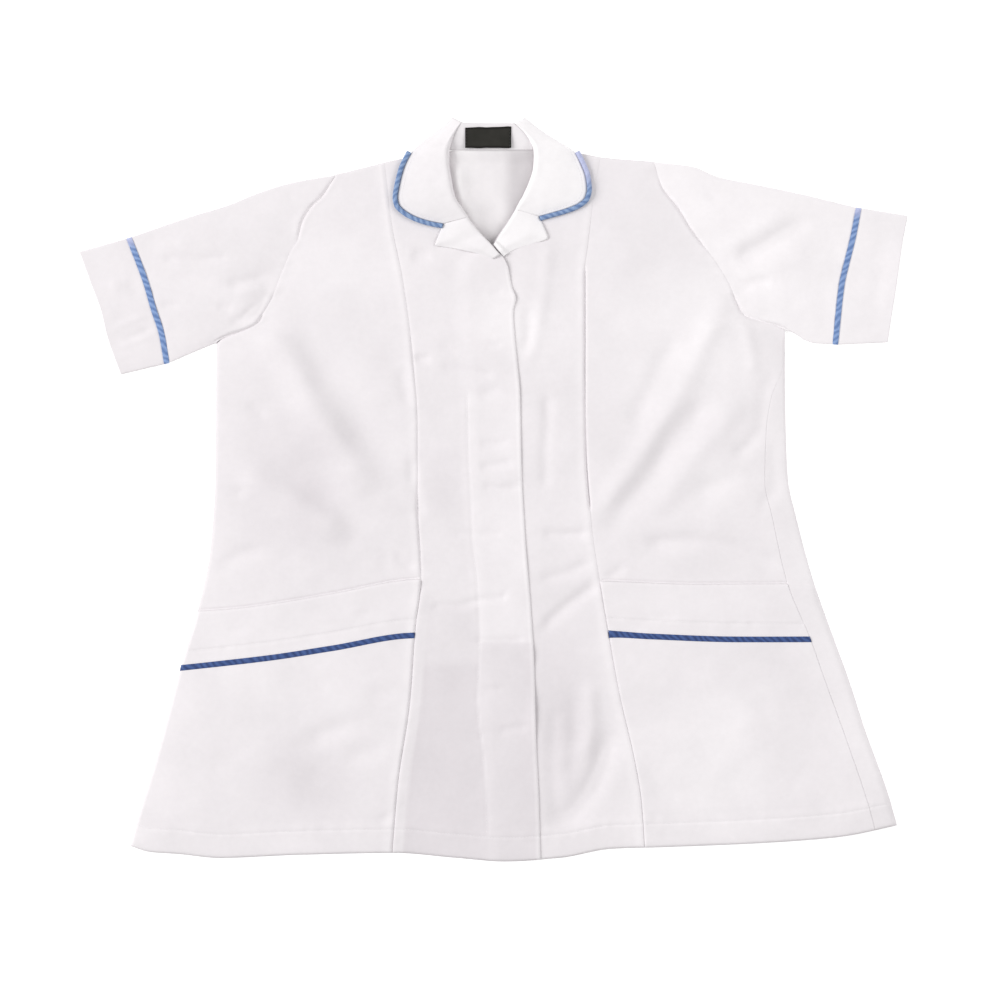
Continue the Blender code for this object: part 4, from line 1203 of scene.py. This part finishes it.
# The collar's piping: a cord in a mid-blue bias strip, caught between the collar's two layers. It
# starts squarely at the collar's point and runs to the shoulder.
PIPING_POINTS = 110
PIPING_SIDES = 14
piping_blue = trim_finish("blue_piping", (0.07, 0.14, 0.33), (0.31, 0.43, 0.64))
for wearers, sections in COLLARS.items():
    at = sections_at(sections[:PIPED_SECTIONS], np.linspace(0, 1, PIPING_POINTS))
    centre = np.stack([at["edge_x"], at["edge_y"], resting_height(at) + PIPING_RADIUS - 0.3], axis=1)
    ahead = np.gradient(centre, axis=0)
    ahead = ahead / np.linalg.norm(ahead, axis=1)[:, None]
    aside = np.cross(ahead, (0, 0, 1))
    aside = aside / np.linalg.norm(aside, axis=1)[:, None]
    above = np.cross(aside, ahead)
    turn = np.linspace(0, 2 * np.pi, PIPING_SIDES + 1)
    ring = centre[:, None] + PIPING_RADIUS * (
        aside[:, None] * (1.12 * np.cos(turn))[None, :, None]
        + above[:, None] * (0.85 * np.sin(turn))[None, :, None]
    )
    cord = sheet_through(ring.transpose(1, 0, 2))
    map_along(cord, gone_along(centre), turn * PIPING_RADIUS)
    bmesh.ops.remove_doubles(cord, verts=cord.verts, dist=0.00001)
    bmesh.ops.holes_fill(cord, edges=[edge for edge in cord.edges if edge.is_boundary], sides=0)
    bmesh.ops.recalc_face_normals(cord, faces=cord.faces)
    # The wearer's left piping is made paler towards the shoulder.
    paled = [0.75 * float(ease((v.co.y / MM - 296) / 24)) * (wearers == "left") for v in cord.verts]
    piping = piece_of(f"piping_{wearers}", cord, piping_blue, (f"collar_piping_{wearers}",))
    mark_tone_and_painted_light(piping, paled)

# The collar across the back neck: its stand faces up with the label on it, and its fall is folded
# away underneath. It is sewn to the back's neck edge.
COLLAR_BACK_SEAM, COLLAR_BACK_FOLD, COLLAR_BACK_HEIGHT, FOLD_ROUND = 339.5, 367.0, 7.0, 1.6
COLLAR_BACK_COLUMNS = 44
depth = COLLAR_BACK_FOLD - COLLAR_BACK_SEAM
profile = np.array((
    (0.0, 0.72), (depth * 0.35, 0.86), (depth * 0.7, 1.0), (depth - FOLD_ROUND, 0.97),
    (depth, 0.5), (depth - FOLD_ROUND, 0.0), (depth * 0.5, 0.0), (GAP, 0.0),
)) * (1, COLLAR_BACK_HEIGHT)
along = lengthwise(profile)
fine = np.linspace(0, 1, 46)
up_the_back, heights = np.interp(fine, along, profile[:, 0]), smooth_line(zip(along, profile[:, 1]))(fine)
rolls = {
    wearers: smooth_line(sorted((row[3], row[2]) for row in sections))
    for wearers, sections in COLLARS.items()
}
points = np.zeros((COLLAR_BACK_COLUMNS, len(fine), 3))
for j, (up, height) in enumerate(zip(up_the_back, heights)):
    y = COLLAR_BACK_SEAM + up
    x = np.linspace(rolls["right"](y) - 0.7, rolls["left"](y) + 0.7, COLLAR_BACK_COLUMNS)
    on_top = ease((heights[j] - 3) / 2)
    points[:, j, 0] = x
    points[:, j, 1] = y - 1.2 * np.cos(x / 36 * np.pi) * ease(up / depth) * on_top * 0.5
    points[:, j, 2] = height + on_top * (0.25 * uneven(x, y, 9, 41) + dip(up - 2.0, 0.3, 1.0))
collar_back = roll_piece("collar_back_cloth", points, collar_twill, "collar_back")

# The label: a bare black woven label, stitched down at both ends on the collar's stand. Its edges
# are sealed and slightly wavy.
LABEL_SIZE = (46.0, 21.0)
LABEL_MIDDLE = (-5.3, 351.6)
LABEL_WALL, LABEL_BORDER = 0.5, 2.4


def label_finish():
    """Black woven ribbon: fine ribs across it and a faint bloom."""
    finish, tree, surface = finish_with("black_woven_label", {"Roughness": 0.7, "Specular IOR Level": 0.2})
    place = wired(tree, "TexCoord").outputs["Object"]
    weft = pattern(tree, "Wave", place, {"Scale": 520, "Distortion": 0.3}, bands_direction="Y")
    bloom = pattern(tree, "Noise", place, {"Scale": 90, "Detail": 3})
    black = mixed(tree, (0.014, 0.014, 0.011, 1), (0.034, 0.032, 0.028, 1), bloom, "RGBA")
    inner = wired(tree, "Attribute", attribute_name="layers").outputs["Fac"]
    feed(tree, surface, {
        "Base Color": mixed(tree, (0.007, 0.006, 0.005, 1), black, inner, "RGBA"),
        "Normal": bumped(tree, weft, 0.4, 0.0002),
    })
    return finish


label_u, label_v = np.meshgrid(np.linspace(-0.5, 0.5, 47), np.linspace(-0.5, 0.5, 22))
label_x = LABEL_MIDDLE[0] + label_u * LABEL_SIZE[0]
label_y = LABEL_MIDDLE[1] + label_v * (LABEL_SIZE[1] + 0.5 * uneven(label_x, 0 * label_x, 7, 42))
label_y = label_y + 1.1 * label_u * (label_v + 0.5)
label_z = COLLAR_BACK_HEIGHT + GAP + LABEL_WALL + 0.15 * uneven(label_x, label_y, 8, 43)
label = piece_of(
    "woven_label", sheet_through(np.stack([label_x, label_y, label_z], axis=2)), label_finish(),
    ("label",), LABEL_WALL,
)
from_border = np.minimum(
    (0.5 - np.abs(label_u)) * LABEL_SIZE[0], (0.5 - np.abs(label_v)) * LABEL_SIZE[1]
)
mark_tone_and_painted_light(label, ease(from_border - LABEL_BORDER + 1))

# The stitching: rows of polyester thread, about eight stitches to 25 mm, white where they hold the hems,
# the placket, the pocket bands and the collar's edge, and black where they hold the label.
STITCH_PITCH, STITCH_LENGTH, STITCH_WIDTH, STITCH_HEIGHT = 3.1, 2.3, 0.46, 0.34
STITCH_LIFT = 0.05


def thread_finish(name, colour):
    """Twisted polyester thread with a faint shine."""
    finish, tree, surface = finish_with(name, {"Roughness": 0.5})
    place = wired(tree, "TexCoord").outputs["Object"]
    twist = pattern(tree, "Wave", place, {"Scale": 1600}, bands_direction="DIAGONAL")
    dull = (*(0.86 * c for c in colour), 1)
    feed(tree, surface, {"Base Color": mixed(tree, dull, (*colour, 1), twist, "RGBA")})
    return finish


def stitch_row(name, paths, finish):
    """One piece of thread: short stitches laid end to end along paths on the cloth."""
    rows = bmesh.new()
    for path in paths:
        path = np.asarray(path, float)
        along = gone_along(path)
        for middle in np.arange(STITCH_PITCH / 2, along[-1], STITCH_PITCH):
            ends = [
                np.array([np.interp(middle + reach, along, path[:, k]) for k in range(3)])
                for reach in (-STITCH_LENGTH / 2, STITCH_LENGTH / 2)
            ]
            lead = Vector(ends[1] - ends[0]).normalized()
            turn = lead.to_track_quat("X", "Z").to_matrix().to_4x4()
            size = Matrix.Diagonal((STITCH_LENGTH * MM, STITCH_WIDTH * MM, STITCH_HEIGHT * MM, 1))
            place = Matrix.Translation(Vector((ends[0] + ends[1]) / 2 * MM))
            bmesh.ops.create_icosphere(rows, subdivisions=1, radius=0.5, matrix=place @ turn @ size)
    return piece_of(name, rows, finish, ())


def on_surface(top, x, y):
    return np.stack([x, y, top(x, y) + STITCH_LIFT], axis=1)


white_thread = thread_finish("white_thread", (0.88, 0.86, 0.87))
black_thread = thread_finish("black_thread", (0.05, 0.05, 0.045))
hem_stitches = []
for first, last, top in (
    (side_right, princess_right, pocket_surface), (princess_right, front_edge, right_centre_top),
    (front_edge, princess_left, front_top), (princess_left, seam_left, pocket_surface),
    (seam_left, side_left, turned_top),
):
    x = np.linspace(first(-345) + 1.5, last(-345) - 1.5, 160)
    hem_stitches.append(on_surface(top, x, hem(x) + HEM_DEPTH))
stitch_row("hem_stitching", hem_stitches, white_thread)

y = np.linspace(-344, 96, 300)
stitch_row("placket_stitching", [on_surface(right_centre_top, placket_stitch(y), y)], white_thread)

band_stitches = []
for x in (np.linspace(-303, -78, 160), np.linspace(113, 316, 150)):
    band_stitches.append(on_surface(pocket_surface, x, trim_line(x) + BAND_STITCH))
    band_stitches.append(on_surface(pocket_surface, x, trim_line(x) + TRIM_WIDTH / 2 + 1.6))
stitch_row("pocket_stitching", band_stitches, white_thread)

collar_stitches = []
for wearers, sections in COLLARS.items():
    points = rolled(sections, 160, PIPED_SECTIONS, seed=33)[:118]
    far = np.linalg.norm(points[:, 1:, :2] - points[:, :1, :2], axis=2)
    inner = [
        [np.interp(TOPSTITCH_IN, away, row[1:, c]) for c in range(3)] for row, away in zip(points, far)
    ]
    collar_stitches.append(np.array(inner) + (0, 0, STITCH_LIFT))
stitch_row("collar_stitching", collar_stitches, white_thread)

label_top = COLLAR_BACK_HEIGHT + GAP + LABEL_WALL + 0.1
label_ends = []
for x in (LABEL_MIDDLE[0] - 21.6, LABEL_MIDDLE[0] + 21.6):
    y = np.linspace(LABEL_MIDDLE[1] - 9.6, LABEL_MIDDLE[1] + 9.6, 12)
    label_ends.append(np.stack([0 * y + x, y, 0 * y + label_top], axis=1))
stitch_row("label_stitching", label_ends, black_thread)
